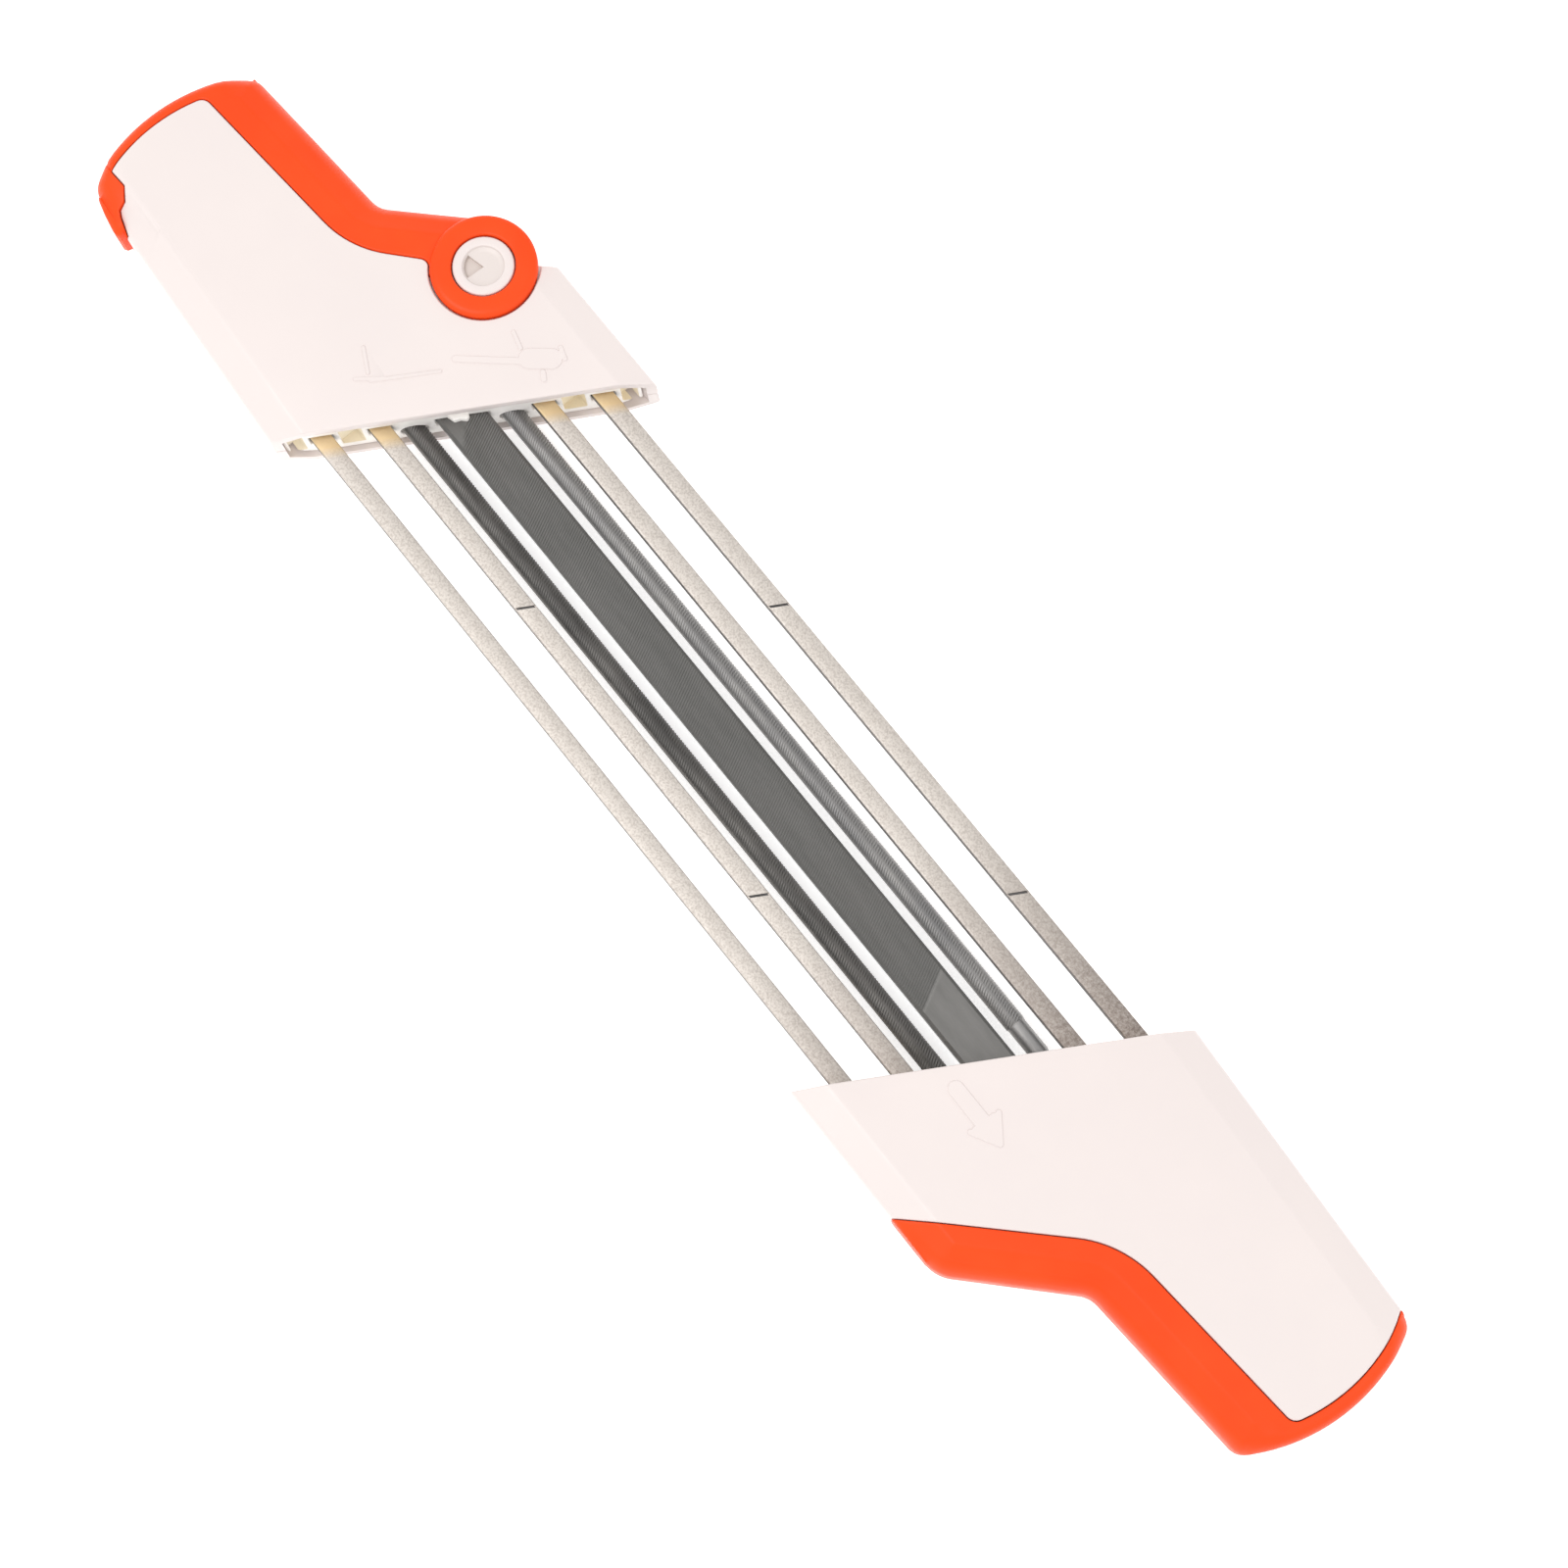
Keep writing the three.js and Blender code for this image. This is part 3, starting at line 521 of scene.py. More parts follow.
class Nodes:
    """A material's node tree, with short calls for the nodes used here."""

    def __init__(self, name: str) -> None:
        """Makes an empty material with a shader and an output."""
        self.material = bpy.data.materials.new(name)
        self.material.use_nodes = True
        self.tree = self.material.node_tree
        self.tree.nodes.clear()
        output = self.tree.nodes.new("ShaderNodeOutputMaterial")
        self.shader = self.tree.nodes.new("ShaderNodeBsdfPrincipled")
        self.tree.links.new(self.shader.outputs["BSDF"], output.inputs["Surface"])
        self.place = self.tree.nodes.new("ShaderNodeTexCoord").outputs["Object"]

    def link(self, source: bpy.types.NodeSocket, target: bpy.types.NodeSocket) -> None:
        """Joins two sockets."""
        self.tree.links.new(source, target)

    def noise(
        self,
        scale: float,
        detail: float = 4.0,
        roughness: float = 0.6,
        stretch: Colour = (1.0, 1.0, 1.0),
        distortion: float = 0.0,
    ) -> bpy.types.NodeSocket:
        """Adds cloudy noise.

        Args:
            scale: features per metre.
            detail: how many finer layers it has.
            roughness: how strong the finer layers are.
            stretch: how much the features are squeezed along each axis.
            distortion: how far the pattern is dragged about.

        Returns:
            The noise's value socket.
        """
        mapping = self.tree.nodes.new("ShaderNodeMapping")
        mapping.inputs["Scale"].default_value = stretch
        node = self.tree.nodes.new("ShaderNodeTexNoise")
        node.inputs["Scale"].default_value = scale
        node.inputs["Detail"].default_value = detail
        node.inputs["Roughness"].default_value = roughness
        node.inputs["Distortion"].default_value = distortion
        self.link(self.place, mapping.inputs["Vector"])
        self.link(mapping.outputs["Vector"], node.inputs["Vector"])
        return node.outputs["Fac"]

    def between(
        self, value: bpy.types.NodeSocket, low: float, high: float, start: float = 0.3, end: float = 0.7
    ) -> bpy.types.NodeSocket:
        """Spreads a value.

        Args:
            value: the socket that is read.
            low: what comes out at start.
            high: what comes out at end.
            start: the value that gives low.
            end: the value that gives high.

        Returns:
            The spread value's socket.
        """
        node = self.tree.nodes.new("ShaderNodeMapRange")
        node.inputs["From Min"].default_value = start
        node.inputs["From Max"].default_value = end
        node.inputs["To Min"].default_value = low
        node.inputs["To Max"].default_value = high
        self.link(value, node.inputs["Value"])
        return node.outputs["Result"]

    def blended(
        self, share: bpy.types.NodeSocket, first: Colour | bpy.types.NodeSocket, second: Colour
    ) -> bpy.types.NodeSocket:
        """Mixes two colours.

        Args:
            share: how much of the second colour shows.
            first: a colour or a colour socket.
            second: the other colour.

        Returns:
            The mixed colour's socket.
        """
        node = self.tree.nodes.new("ShaderNodeMix")
        node.data_type = "RGBA"
        self.link(share, node.inputs["Factor"])
        if isinstance(first, tuple):
            node.inputs[6].default_value = (*first, 1)
        else:
            self.link(first, node.inputs[6])
        node.inputs[7].default_value = (*second, 1)
        return node.outputs[2]

    def along(self, direction: Colour, start: float, end: float) -> bpy.types.NodeSocket:
        """Adds a ramp across the object.

        Args:
            direction: the direction that the ramp is measured in.
            start: where it is nought, in metres.
            end: where it is one, in metres.

        Returns:
            The ramp's socket.
        """
        dot = self.tree.nodes.new("ShaderNodeVectorMath")
        dot.operation = "DOT_PRODUCT"
        dot.inputs[1].default_value = direction
        self.link(self.place, dot.inputs[0])
        return self.between(dot.outputs["Value"], 0.0, 1.0, start, end)

    def bump(self, height: bpy.types.NodeSocket, strength: float, depth: float) -> None:
        """Gives the shader a bumpy surface.

        Args:
            height: the bumps' socket.
            strength: how strongly they show.
            depth: how high they are, in metres.
        """
        node = self.tree.nodes.new("ShaderNodeBump")
        node.inputs["Strength"].default_value = strength
        node.inputs["Distance"].default_value = depth
        self.link(height, node.inputs["Height"])
        self.link(node.outputs["Normal"], self.shader.inputs["Normal"])


@dataclass(frozen=True)
class MouldedPlastic:
    """Satin moulded plastic with faint flow clouds and a fine spark-eroded grain."""

    name: str
    colour: Colour
    cloud: Colour
    roughness: tuple[float, float] = (0.34, 0.46)
    grain: float = 5200.0
    grain_depth: float = 0.00002
    shine: float = 0.5
    painted_glow: float = 0.0

    def material(self) -> bpy.types.Material:
        """Builds the plastic's material; its painted glow is an emission that stands in for light passing
        through the plastic.
        """
        nodes = Nodes(self.name)
        cloud = nodes.between(nodes.noise(38.0, 3.0), 0.0, 1.0, 0.35, 0.68)
        tone = nodes.blended(cloud, self.colour, self.cloud)
        nodes.link(tone, nodes.shader.inputs["Base Color"])
        nodes.link(tone, nodes.shader.inputs["Emission Color"])
        # Painted glow: an emission standing in for light that passes through the plastic, though the plastic
        # is no lamp.
        nodes.shader.inputs["Emission Strength"].default_value = self.painted_glow
        rough = nodes.between(nodes.noise(140.0, 5.0), *self.roughness)
        nodes.link(rough, nodes.shader.inputs["Roughness"])
        nodes.bump(nodes.noise(self.grain, 3.0, 0.7), 0.22, self.grain_depth)
        nodes.shader.inputs["IOR"].default_value = 1.49
        nodes.shader.inputs["Specular IOR Level"].default_value = self.shine
        return nodes.material


@dataclass(frozen=True)
class SpeckledSteel:
    """Tumbled, nickel-plated strip: pale, mottled and grainy, browner towards the fixed handle's mouth, with
    painted amber shade and reflection at the latch handle's mouth.
    """

    name: str
    colour: Colour = (0.63, 0.585, 0.54)
    fleck: Colour = (0.37, 0.325, 0.29)
    brown: Colour = (0.20, 0.16, 0.14)
    painted_mouth_reflection: Colour = (0.70, 0.54, 0.32)
    slant: float = 0.577
    mouth: float = 0.0875
    browning_span: tuple[float, float] = (0.044, 0.1)

    def material(self) -> bpy.types.Material:
        """Builds the strip's material."""
        nodes = Nodes(self.name)
        shader = nodes.shader
        fleck = nodes.between(nodes.noise(2400.0, 4.0, 0.7), 0.0, 0.62, 0.44, 0.62)
        colour = nodes.blended(fleck, self.colour, self.fleck)
        across = (1.0, -self.slant, 0.0)
        # Mottled, darker and browner towards the fixed handle's mouth.
        fixed_end = nodes.along((1.0, 0.0, 0.0), *self.browning_span)
        mottled = nodes.tree.nodes.new("ShaderNodeMath")
        mottled.operation = "MULTIPLY"
        nodes.link(fixed_end, mottled.inputs[0])
        nodes.link(nodes.between(nodes.noise(1500.0, 6.0, 0.8), 0.55, 1.0, 0.42, 0.60), mottled.inputs[1])
        colour = nodes.blended(mottled.outputs["Value"], colour, self.brown)
        # Painted shade and reflection of the block's cream plastic: an amber tint on the strips at and inside
        # the latch handle's mouth.
        mouth_reflection_ramp = nodes.along(across, -self.mouth + 0.0046, -self.mouth + 0.0016)
        colour = nodes.blended(mouth_reflection_ramp, colour, self.painted_mouth_reflection)
        nodes.link(colour, shader.inputs["Base Color"])
        shader.inputs["Metallic"].default_value = 0.72
        nodes.link(nodes.between(nodes.noise(2100.0, 5.0), 0.42, 0.6), shader.inputs["Roughness"])
        nodes.bump(nodes.noise(3000.0, 5.0, 0.7), 0.4, 0.00007)
        return nodes.material


@dataclass(frozen=True)
class CutSteel:
    """Hardened file steel, grey with an oily, slightly streaked surface."""

    name: str
    colour: Colour
    streak: Colour
    metallic: float = 0.75
    roughness: tuple[float, float] = (0.34, 0.5)

    def material(self) -> bpy.types.Material:
        """Builds the steel's material."""
        nodes = Nodes(self.name)
        streak = nodes.between(nodes.noise(260.0, 5.0, 0.7, (0.18, 1.0, 1.0)), 0.0, 1.0, 0.38, 0.66)
        nodes.link(nodes.blended(streak, self.colour, self.streak), nodes.shader.inputs["Base Color"])
        nodes.shader.inputs["Metallic"].default_value = self.metallic
        rough = nodes.between(nodes.noise(700.0, 4.0, 0.6, (0.3, 1.0, 1.0)), *self.roughness)
        nodes.link(rough, nodes.shader.inputs["Roughness"])
        nodes.bump(nodes.noise(3200.0, 4.0, 0.6), 0.25, 0.00003)
        return nodes.material


@dataclass(frozen=True)
class Backdrop:
    """Matt, pale floor panel, faintly lit from beneath, with the slightest unevenness of tone."""

    name: str = "studio_floor"
    colour: Colour = (0.93, 0.93, 0.93)
    lit_through: float = 0.62

    def material(self) -> bpy.types.Material:
        """Builds the floor's material."""
        nodes = Nodes(self.name)
        cloud = nodes.noise(3.0, 2.0)
        darker = tuple(0.985 * c for c in self.colour)
        nodes.link(nodes.blended(cloud, self.colour, darker), nodes.shader.inputs["Base Color"])
        nodes.shader.inputs["Roughness"].default_value = 0.9
        nodes.shader.inputs["Emission Color"].default_value = (*self.colour, 1)
        nodes.shader.inputs["Emission Strength"].default_value = self.lit_through
        return nodes.material


class Finishes:
    """Every finish of the tool, made once."""

    def __init__(self) -> None:
        """Builds the materials."""
        self.white = MouldedPlastic("white_shell", (0.755, 0.682, 0.662), (0.77, 0.695, 0.672)).material()
        self.orange = MouldedPlastic(
            "orange_grip", (0.88, 0.062, 0.006), (0.90, 0.075, 0.009), shine=0.2
        ).material()
        # The block face and the pockets glow with painted light; the pockets' warmer cream tone is painted
        # shade in the hollows, with painted glow for light through the plastic.
        self.block = MouldedPlastic(
            "block_face", (0.86, 0.83, 0.80), (0.88, 0.85, 0.81), painted_glow=0.10
        ).material()
        self.pocket_shade = MouldedPlastic(
            "block_pocket_painted_shade", (0.78, 0.68, 0.49), (0.84, 0.78, 0.66), painted_glow=0.12
        ).material()
        # The pin's recess and key are its white plastic painted darker: painted shade in the hollows.
        self.dish = MouldedPlastic("pin_dish_painted_shade", (0.70, 0.63, 0.60), (0.72, 0.65, 0.62)).material()
        self.key = MouldedPlastic("pin_key_painted_shade", (0.63, 0.55, 0.51), (0.66, 0.58, 0.54)).material()
        self.bar = SpeckledSteel("guide_strip").material()
        # The strips' sides are painted near-black as shade; the marks' floors use the same dark finish.
        self.painted_side_shade_and_marks = CutSteel(
            "guide_strip_side_painted_shade", (0.075, 0.072, 0.07), (0.16, 0.15, 0.145), 0.5, (0.45, 0.6)
        ).material()
        # The left file is the same steel as the right, painted darker as shade.
        self.shaded_round_file = CutSteel("round_file_painted_shade", (0.13, 0.125, 0.12), (0.215, 0.205, 0.195)).material()
        self.pale_file = CutSteel("round_file_pale", (0.29, 0.285, 0.285), (0.39, 0.38, 0.37)).material()
        self.flat_file = CutSteel("flat_file_face", (0.165, 0.162, 0.155), (0.195, 0.19, 0.183)).material()
        self.pin = CutSteel("pin_steel", (0.55, 0.55, 0.55), (0.62, 0.61, 0.60), 0.95).material()


def add_piece(
    name: str,
    shape: Shape,
    materials: Sequence[bpy.types.Material],
    slot: Slot,
    nodes: Sequence[str],
    body: Body = Body.GUIDE,
    crease: float = 32.0,
) -> bpy.types.Object:
    """Makes one piece of the tool and puts it on its body.

    Args:
        name: the piece's name.
        shape: its shape, in millimetres.
        materials: the finishes that its face numbers stand for.
        slot: the record's material slot for it; not used.
        nodes: the CAD nodes that it stands for.
        body: the body that it rides on.
        crease: faces that meet at a sharper angle than this, in degrees, keep a hard edge.

    Returns:
        The new object.
    """
    mesh = bpy.data.meshes.new(name)
    mesh.from_pydata((shape.vertices * MM).tolist(), [], shape.faces)
    for material in materials:
        mesh.materials.append(material)
    mesh.polygons.foreach_set("material_index", shape.tags)
    work = bmesh.new()
    work.from_mesh(mesh)
    bmesh.ops.remove_doubles(work, verts=work.verts, dist=2e-6)
    bmesh.ops.dissolve_degenerate(work, edges=work.edges, dist=1e-7)
    loose = [vertex for vertex in work.verts if not vertex.link_faces]
    bmesh.ops.delete(work, geom=loose, context="VERTS")
    work.to_mesh(mesh)
    work.free()
    mesh.shade_smooth()
    mesh.set_sharp_from_angle(angle=math.radians(crease))
    piece = bpy.data.objects.new(name, mesh)
    bpy.context.scene.collection.objects.link(piece)
    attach(piece, body.value)
    if nodes:
        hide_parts(*nodes)
    LOG.info("%s: %d faces on %s", name, len(mesh.polygons), body.value)
    return piece


# ---------------------------------------------------------------- the handles' form


@dataclass(frozen=True)
class Sizes:
    """Sizes that the handles share with the CAD model, in millimetres, in the handle frame."""

    slant: float = math.tan(math.radians(30))
    exposed: float = 175.0
    tail: float = 183.0
    thickness: float = 17.0
    half_width: float = 35.5
    wall: float = 2.0
    grip_wall: float = 2.3
    gap: float = 0.3
    seam: float = 0.2
    play: float = 0.4
    taper: float = 0.0623
    facet_width: float = 6.5
    facet_drop: float = 2.8
    waist_y: float = -14.1
    butt_y: float = -11.5
    grip_strip: float = 10.9
    overrun: float = 14.0
    clear: float = 45.5
    scoop_start_round: float = 8
    scoop_bottom_round: float = 6
    butt_round: float = 4
    butt_finger_inset: float = 5.8
    butt_long_inset: float = 4.4
    end_round: float = 42
    end_reach: float = 5.7
    end_centre: float = 26.1
    seam_waist_inset: float = 51.6
    seam_waist_round: float = 24
    seam_butt_inset: float = 4.4
    seam_butt_rise: float = 0.95
    seam_butt_round: float = 2.5
    seam_end_inset: float = 0.1
    seam_end_edge: float = 18.5
    seam_end_round: float = 40
    seam_out_inset: float = 13.9
    seam_out_past: float = 7.1
    lip: float = 0.35
    join_chamfer: float = 0.25
    eye_radius: float = 11.5
    eye_rise: float = 1.0
    eye_thickness: float = 2.3
    pin_head: float = 6.6
    pin_shaft: float = 5.2
    pin_wall: float = 1.8
    lobe: float = 9.8
    shoulder: float = math.radians(235)
    lever_root: float = math.radians(318)
    corner_radius: float = 86.0

    @property
    def middle(self) -> float:
        """Half the handles' thickness."""
        return self.thickness / 2

    @property
    def seam_waist(self) -> tuple[float, float]:
        """The corner of the white and orange pieces' parting at the handles' waist."""
        return self.tail - self.seam_waist_inset, self.waist_y + self.grip_strip

    @property
    def pivot(self) -> Points:
        """The lock lever's axis, from the CAD model's joint."""
        joint = next(j for j in frame["joints"] if j["name"] == "lock_lever_swing")
        place = joint["pos_m"]
        return np.array([-place[0] / MM, -place[1] / MM])

    def mouth_x(self, y: float | np.ndarray) -> float | np.ndarray:
        """Where a handle's mouth is, at some distance across."""
        return self.exposed / 2 + y * self.slant

    def edge_y(self, x: float | np.ndarray) -> float | np.ndarray:
        """Where the tapered long edge is, at some distance along."""
        return self.half_width - (x - self.mouth_x(self.half_width)) * self.taper

    def polar(self, radius: float, angle: float) -> Points:
        """A point about the pivot."""
        return self.pivot + radius * np.array([math.cos(angle), math.sin(angle)])


SIZES = Sizes()
EDGE_INSETS = (0.0, 0.04, 0.14, 0.32, 0.58, 0.9, 0.95, 1.35, 1.9, 2.4, 2.8, 2.85, 3.1, 3.15)
CREST_INSETS = (5.5, 5.8, 6.1, 6.3, 6.5, 6.7, 6.9, 7.05)
LIP_INSETS = (0.03, 0.1, 0.2, 0.35, 0.42)
EYE_INSETS = (0.05, 0.2, 0.45, 0.8, 1.25, 1.8)
BORE_INSETS = (0.04, 0.14, 0.3, 0.55)
RING_SIDES = 96
RING_STEP = 0.03  # width of the near-upright step at a ring's side
HEAD_INSETS = (0.0, 0.05, 0.2, 0.45)
RECESS_STEPS = (0.25, 0.08, 0.0, -0.2, -0.6, -1.2)
HOOK_COLUMNS = (167.7, 167.2, 166.7, 165.5, 164.0, 163.0)


@dataclass
class HandleForm:
    """The outside form of one handle.

    Attributes:
        scoop_start_inset: from where the finger scoop leaves the long edge to the far end.
        scoop_bottom_inset: from where the scoop is at its deepest to the far end.
        dented: whether the shell has a thumb dent beside the hook.
    """

    scoop_start_inset: float
    scoop_bottom_inset: float
    dented: bool = False
    crisp_round: float = 0.9
    soft_round: float = 3.1
    scoop_crest: float = 6.2
    scoop_fall: float = 0.44
    scoop_round: float = 2.8
    dent_crest_y: float = 25.2
    dent_apex_x: float = 160.3
    dent_slope: float = 0.62
    dent_side: float = 0.75
    dent_soft: float = 0.35
    dent_run: tuple[float, float] = (-4.6, 8.0)
    dent_end_x: float = 176.0

    def __post_init__(self) -> None:
        """Works out the lines that the form's height is measured from."""
        self.outline = rounded(self.corners())
        y_low = self.outline[:, 1] + SIZES.half_width
        y_high = SIZES.edge_y(self.outline[:, 0]) - self.outline[:, 1]
        soft = self.outline[(np.abs(y_low) > 0.02) & (np.abs(y_high) > 0.02)]
        split = int(np.argmax(soft[:, 0] > SIZES.tail - SIZES.butt_finger_inset))
        self.scoop_line, self.end_line = soft[: split + 1], soft[split:]

    def corners(self) -> list[Corner]:
        """The outline's corners with their fillet radii, counter-clockwise."""
        s = SIZES
        butt_corner = s.tail - s.butt_long_inset
        return [
            (s.mouth_x(-s.half_width) - s.overrun, -s.half_width, 0),
            (s.tail - self.scoop_start_inset, -s.half_width, s.scoop_start_round),
            (s.tail - self.scoop_bottom_inset, s.waist_y, s.scoop_bottom_round),
            (s.tail - s.butt_finger_inset, s.butt_y, s.butt_round),
            (s.tail + s.end_reach, s.half_width - s.end_centre, s.end_round),
            (butt_corner, s.edge_y(butt_corner), s.butt_round),
            (s.mouth_x(s.half_width) - s.overrun, s.half_width + s.overrun * s.taper, 0),
        ]

    def crown(self, points: Points) -> np.ndarray:
        """Height of the handle's upper surface.

        Args:
            points: places in plan, in the handle frame.

        Returns:
            The height at each place.
        """
        s = SIZES
        x, y = points[:, 0], points[:, 1]
        low = y + s.half_width
        high = (s.edge_y(x) - y) * math.cos(math.atan(s.taper))
        scoop = distance(points, self.scoop_line, closed=False)
        end = distance(points, self.end_line, closed=False)
        slope = s.facet_drop / s.facet_width
        fall = np.maximum(soft_over((s.facet_width - low) * slope), soft_over((s.facet_width - high) * slope))
        fall = np.maximum(fall, soft_over((self.scoop_crest - scoop) * self.scoop_fall))
        if self.dented:
            dent = self.dent_slope * (y - self.dent_crest_y)
            dent = dent - self.dent_side * np.maximum(self.dent_apex_x - x, 0)
            fall = np.maximum(fall, soft_over(dent))
        crisp = np.clip(np.minimum(low, high), 0, None)
        rounding = np.maximum(
            edge_drop(crisp, self.crisp_round, self.crisp_round),
            edge_drop(end, self.soft_round, self.soft_round),
        )
        rounding = np.maximum(rounding, edge_drop(scoop, self.scoop_round, self.scoop_round))
        return s.thickness - fall - rounding

    def lines(self) -> tuple[list[Points], list[Points]]:
        """The lines that every piece of this handle is split along.

        Returns:
            Closed lines, and open ones.
        """
        loops = [rounded(self.corners(), inset) for inset in (*EDGE_INSETS, *CREST_INSETS)]
        paths = []
        if self.dented:
            crest, apex = self.dent_crest_y, self.dent_apex_x
            along, across = self.dent_run
            for shift in (-self.dent_soft, 0.0, self.dent_soft):
                paths.append(np.array([[apex, crest + shift], [self.dent_end_x, crest + shift]]))
                paths.append(np.array([[apex + shift, crest], [apex + along + shift, crest + across]]))
        return loops, paths


def mouth_paths(insets: Sequence[float] = (0.0, 0.1, 0.22, 0.4)) -> list[Points]:
    """Lines along and just behind a handle's mouth."""
    ends = (-SIZES.clear, SIZES.clear)
    return [np.array([[SIZES.mouth_x(y) + inset, y] for y in ends]) for inset in insets]


def behind_mouth(points: Points) -> np.ndarray:
    """How far points lie behind a handle's mouth, measured squarely to it."""
    return (points[:, 0] - SIZES.mouth_x(points[:, 1])) * math.cos(math.radians(30))


class Parting:
    """The line between the white shells and the orange pieces."""

    def __init__(self, finish: Sequence[Corner]) -> None:
        """Takes the corners that differ between the two handles."""
        s = SIZES
        butt_y = s.butt_y + s.grip_strip + s.seam_butt_rise
        overrun = 3 * s.overrun
        self.corners: list[Corner] = [
            (*s.seam_waist, s.seam_waist_round),
            (s.tail - s.seam_butt_inset, butt_y, s.seam_butt_round),
            (s.tail - s.seam_end_inset, s.half_width - s.seam_end_edge, s.seam_end_round),
            (s.tail - s.seam_out_inset, s.half_width + s.seam_out_past, 0),
            (s.mouth_x(s.clear) - overrun, s.clear, 0),
            (s.mouth_x(-s.clear) - overrun, -s.clear, 0),
            *finish,
        ]

    def loop(self, inset: float = 0.0) -> Points:
        """The line moved towards the shells by inset."""
        return rounded(self.corners, inset)


# ---------------------------------------------------------------- embossed marks


@dataclass(frozen=True)
class Emboss:
    """Raised strokes on a shell, in the handle frame."""

    strokes: tuple[tuple[float, float, float, float, float], ...]
    height: float = 0.28
    slope: float = 0.22

    def loops(self) -> list[Points]:
        """Lines along the feet and the shoulders of the strokes."""
        found = []
        for x0, y0, x1, y1, radius in self.strokes:
            start, end = np.array([x0, y0]), np.array([x1, y1])
            for side in (1, -1):
                found.append(capsule(start, end, radius + side * self.slope / 2))
        return found

    def rise(self, points: Points) -> np.ndarray:
        """How far the strokes stand above the shell."""
        found = np.zeros(len(points))
        for x0, y0, x1, y1, radius in self.strokes:
            away = distance(points, np.array([[x0, y0], [x1, y1]]), closed=False)
            found = np.maximum(found, self.height * smooth_step((radius - away) / self.slope + 0.5))
        return found


# ---------------------------------------------------------------- fixed handle


@dataclass
class FixedHandle:
    """The handle that holds the files' tangs: two white shells and an orange grip."""

    form: HandleForm = field(
        default_factory=lambda: HandleForm(scoop_start_inset=69.8, scoop_bottom_inset=47.5)
    )
    arrow: Emboss = Emboss(
        (
            (87.6, -9.5, 96.0, -9.55, 1.7),
            (101.6, -9.6, 96.5, -5.9, 0.6),
            (101.6, -9.6, 96.0, -12.7, 0.6),
            (98.6, -9.6, 97.4, -9.6, 2.2),
            (96.9, -7.2, 96.7, -11.6, 1.1),
        )
    )

    def parting(self) -> Parting:
        """This handle's parting line, which leaves the waist straight at 45 degrees."""
        x, y = SIZES.seam_waist
        return Parting([(x - y - SIZES.clear, -SIZES.clear, 0)])

    def shell(self, marks: Emboss | None) -> Shape:
        """Builds a half shell.

        Args:
            marks: raised marks on it, if any.

        Returns:
            The shell's upper half.
        """
        s, form, parting = SIZES, self.form, self.parting()
        edge, inner = form.outline, rounded(form.corners(), s.wall)
        seam, inner_seam = parting.loop(), parting.loop(s.wall)
        loops, paths = form.lines()
        loops += [inner, inner_seam, *(parting.loop(inset) for inset in (0.0, *LIP_INSETS))]
        loops += marks.loops() if marks else []

        def zone(points: Points) -> np.ndarray:
            """Wall, hollow or outside."""
            inside = contains(points, edge) & contains(points, seam) & (behind_mouth(points) > 0)
            hollow = contains(points, inner) & contains(points, inner_seam)
            return np.where(inside, np.where(hollow, 1, 0), -1)

        def skin(points: Points) -> np.ndarray:
            """The outside surface with its softened lips."""
            lips = edge_drop(distance(points, seam), s.lip, s.lip)
            lips = np.maximum(lips, edge_drop(np.abs(behind_mouth(points)), s.lip, s.lip))
            return form.crown(points) - lips + (marks.rise(points) if marks else 0.0)

        def join_line(points: Points) -> np.ndarray:
            """The foot of the walls, chamfered along the outside."""
            return s.middle + s.gap / 2 + np.clip(s.join_chamfer - distance(points, edge), 0, None)

        slab = Slab(
            zone=zone,
            top=skin,
            floors=(join_line, lambda points: form.crown(points) - s.wall),
            loops=[*loops, rounded(form.corners(), s.join_chamfer)],
            paths=[*paths, *mouth_paths()],
        )
        return slab.shape()

    def grip(self) -> Shape:
        """Builds the orange grip: a shell that wraps the finger side and the end."""
        s, form, parting = SIZES, self.form, self.parting()
        edge, inner = form.outline, rounded(form.corners(), s.grip_wall)
        seam = parting.loop(-s.seam)
        loops, paths = form.lines()
        loops += [inner, *(parting.loop(-s.seam - inset) for inset in (0.0, *LIP_INSETS))]

        def zone(points: Points) -> np.ndarray:
            """Outer wall, skin or outside."""
            inside = contains(points, edge) & ~contains(points, seam) & (behind_mouth(points) > 0)
            return np.where(inside, np.where(contains(points, inner), 1, 0), -1)

        slab = Slab(
            zone=zone,
            top=lambda points: form.crown(points) - edge_drop(distance(points, seam), s.lip, s.lip),
            floors=(
                level(s.middle),
                lambda points: form.crown(points) - s.grip_wall,
            ),
            loops=loops,
            paths=[*paths, *mouth_paths((0.0,))],
            open_zones=frozenset({0}),
        )
        half = slab.shape()
        return half.joined(half.underside(s.thickness))

    def build(self, finishes: Finishes) -> None:
        """Makes the handle's pieces.

        Args:
            finishes: the tool's finishes.
        """
        top = self.shell(self.arrow)
        bottom = self.shell(None).underside(SIZES.thickness)
        add_piece("fixed_top_cover", top, [finishes.white], Slot.WHITE, ["fixed_handle_top_shell"])
        add_piece("fixed_bottom_cover", bottom, [finishes.white], Slot.WHITE, ["fixed_handle_bottom_shell"])
        add_piece("fixed_finger_grip", self.grip(), [finishes.orange], Slot.ORANGE, ["fixed_handle_grip"])


# ---------------------------------------------------------------- latch handle


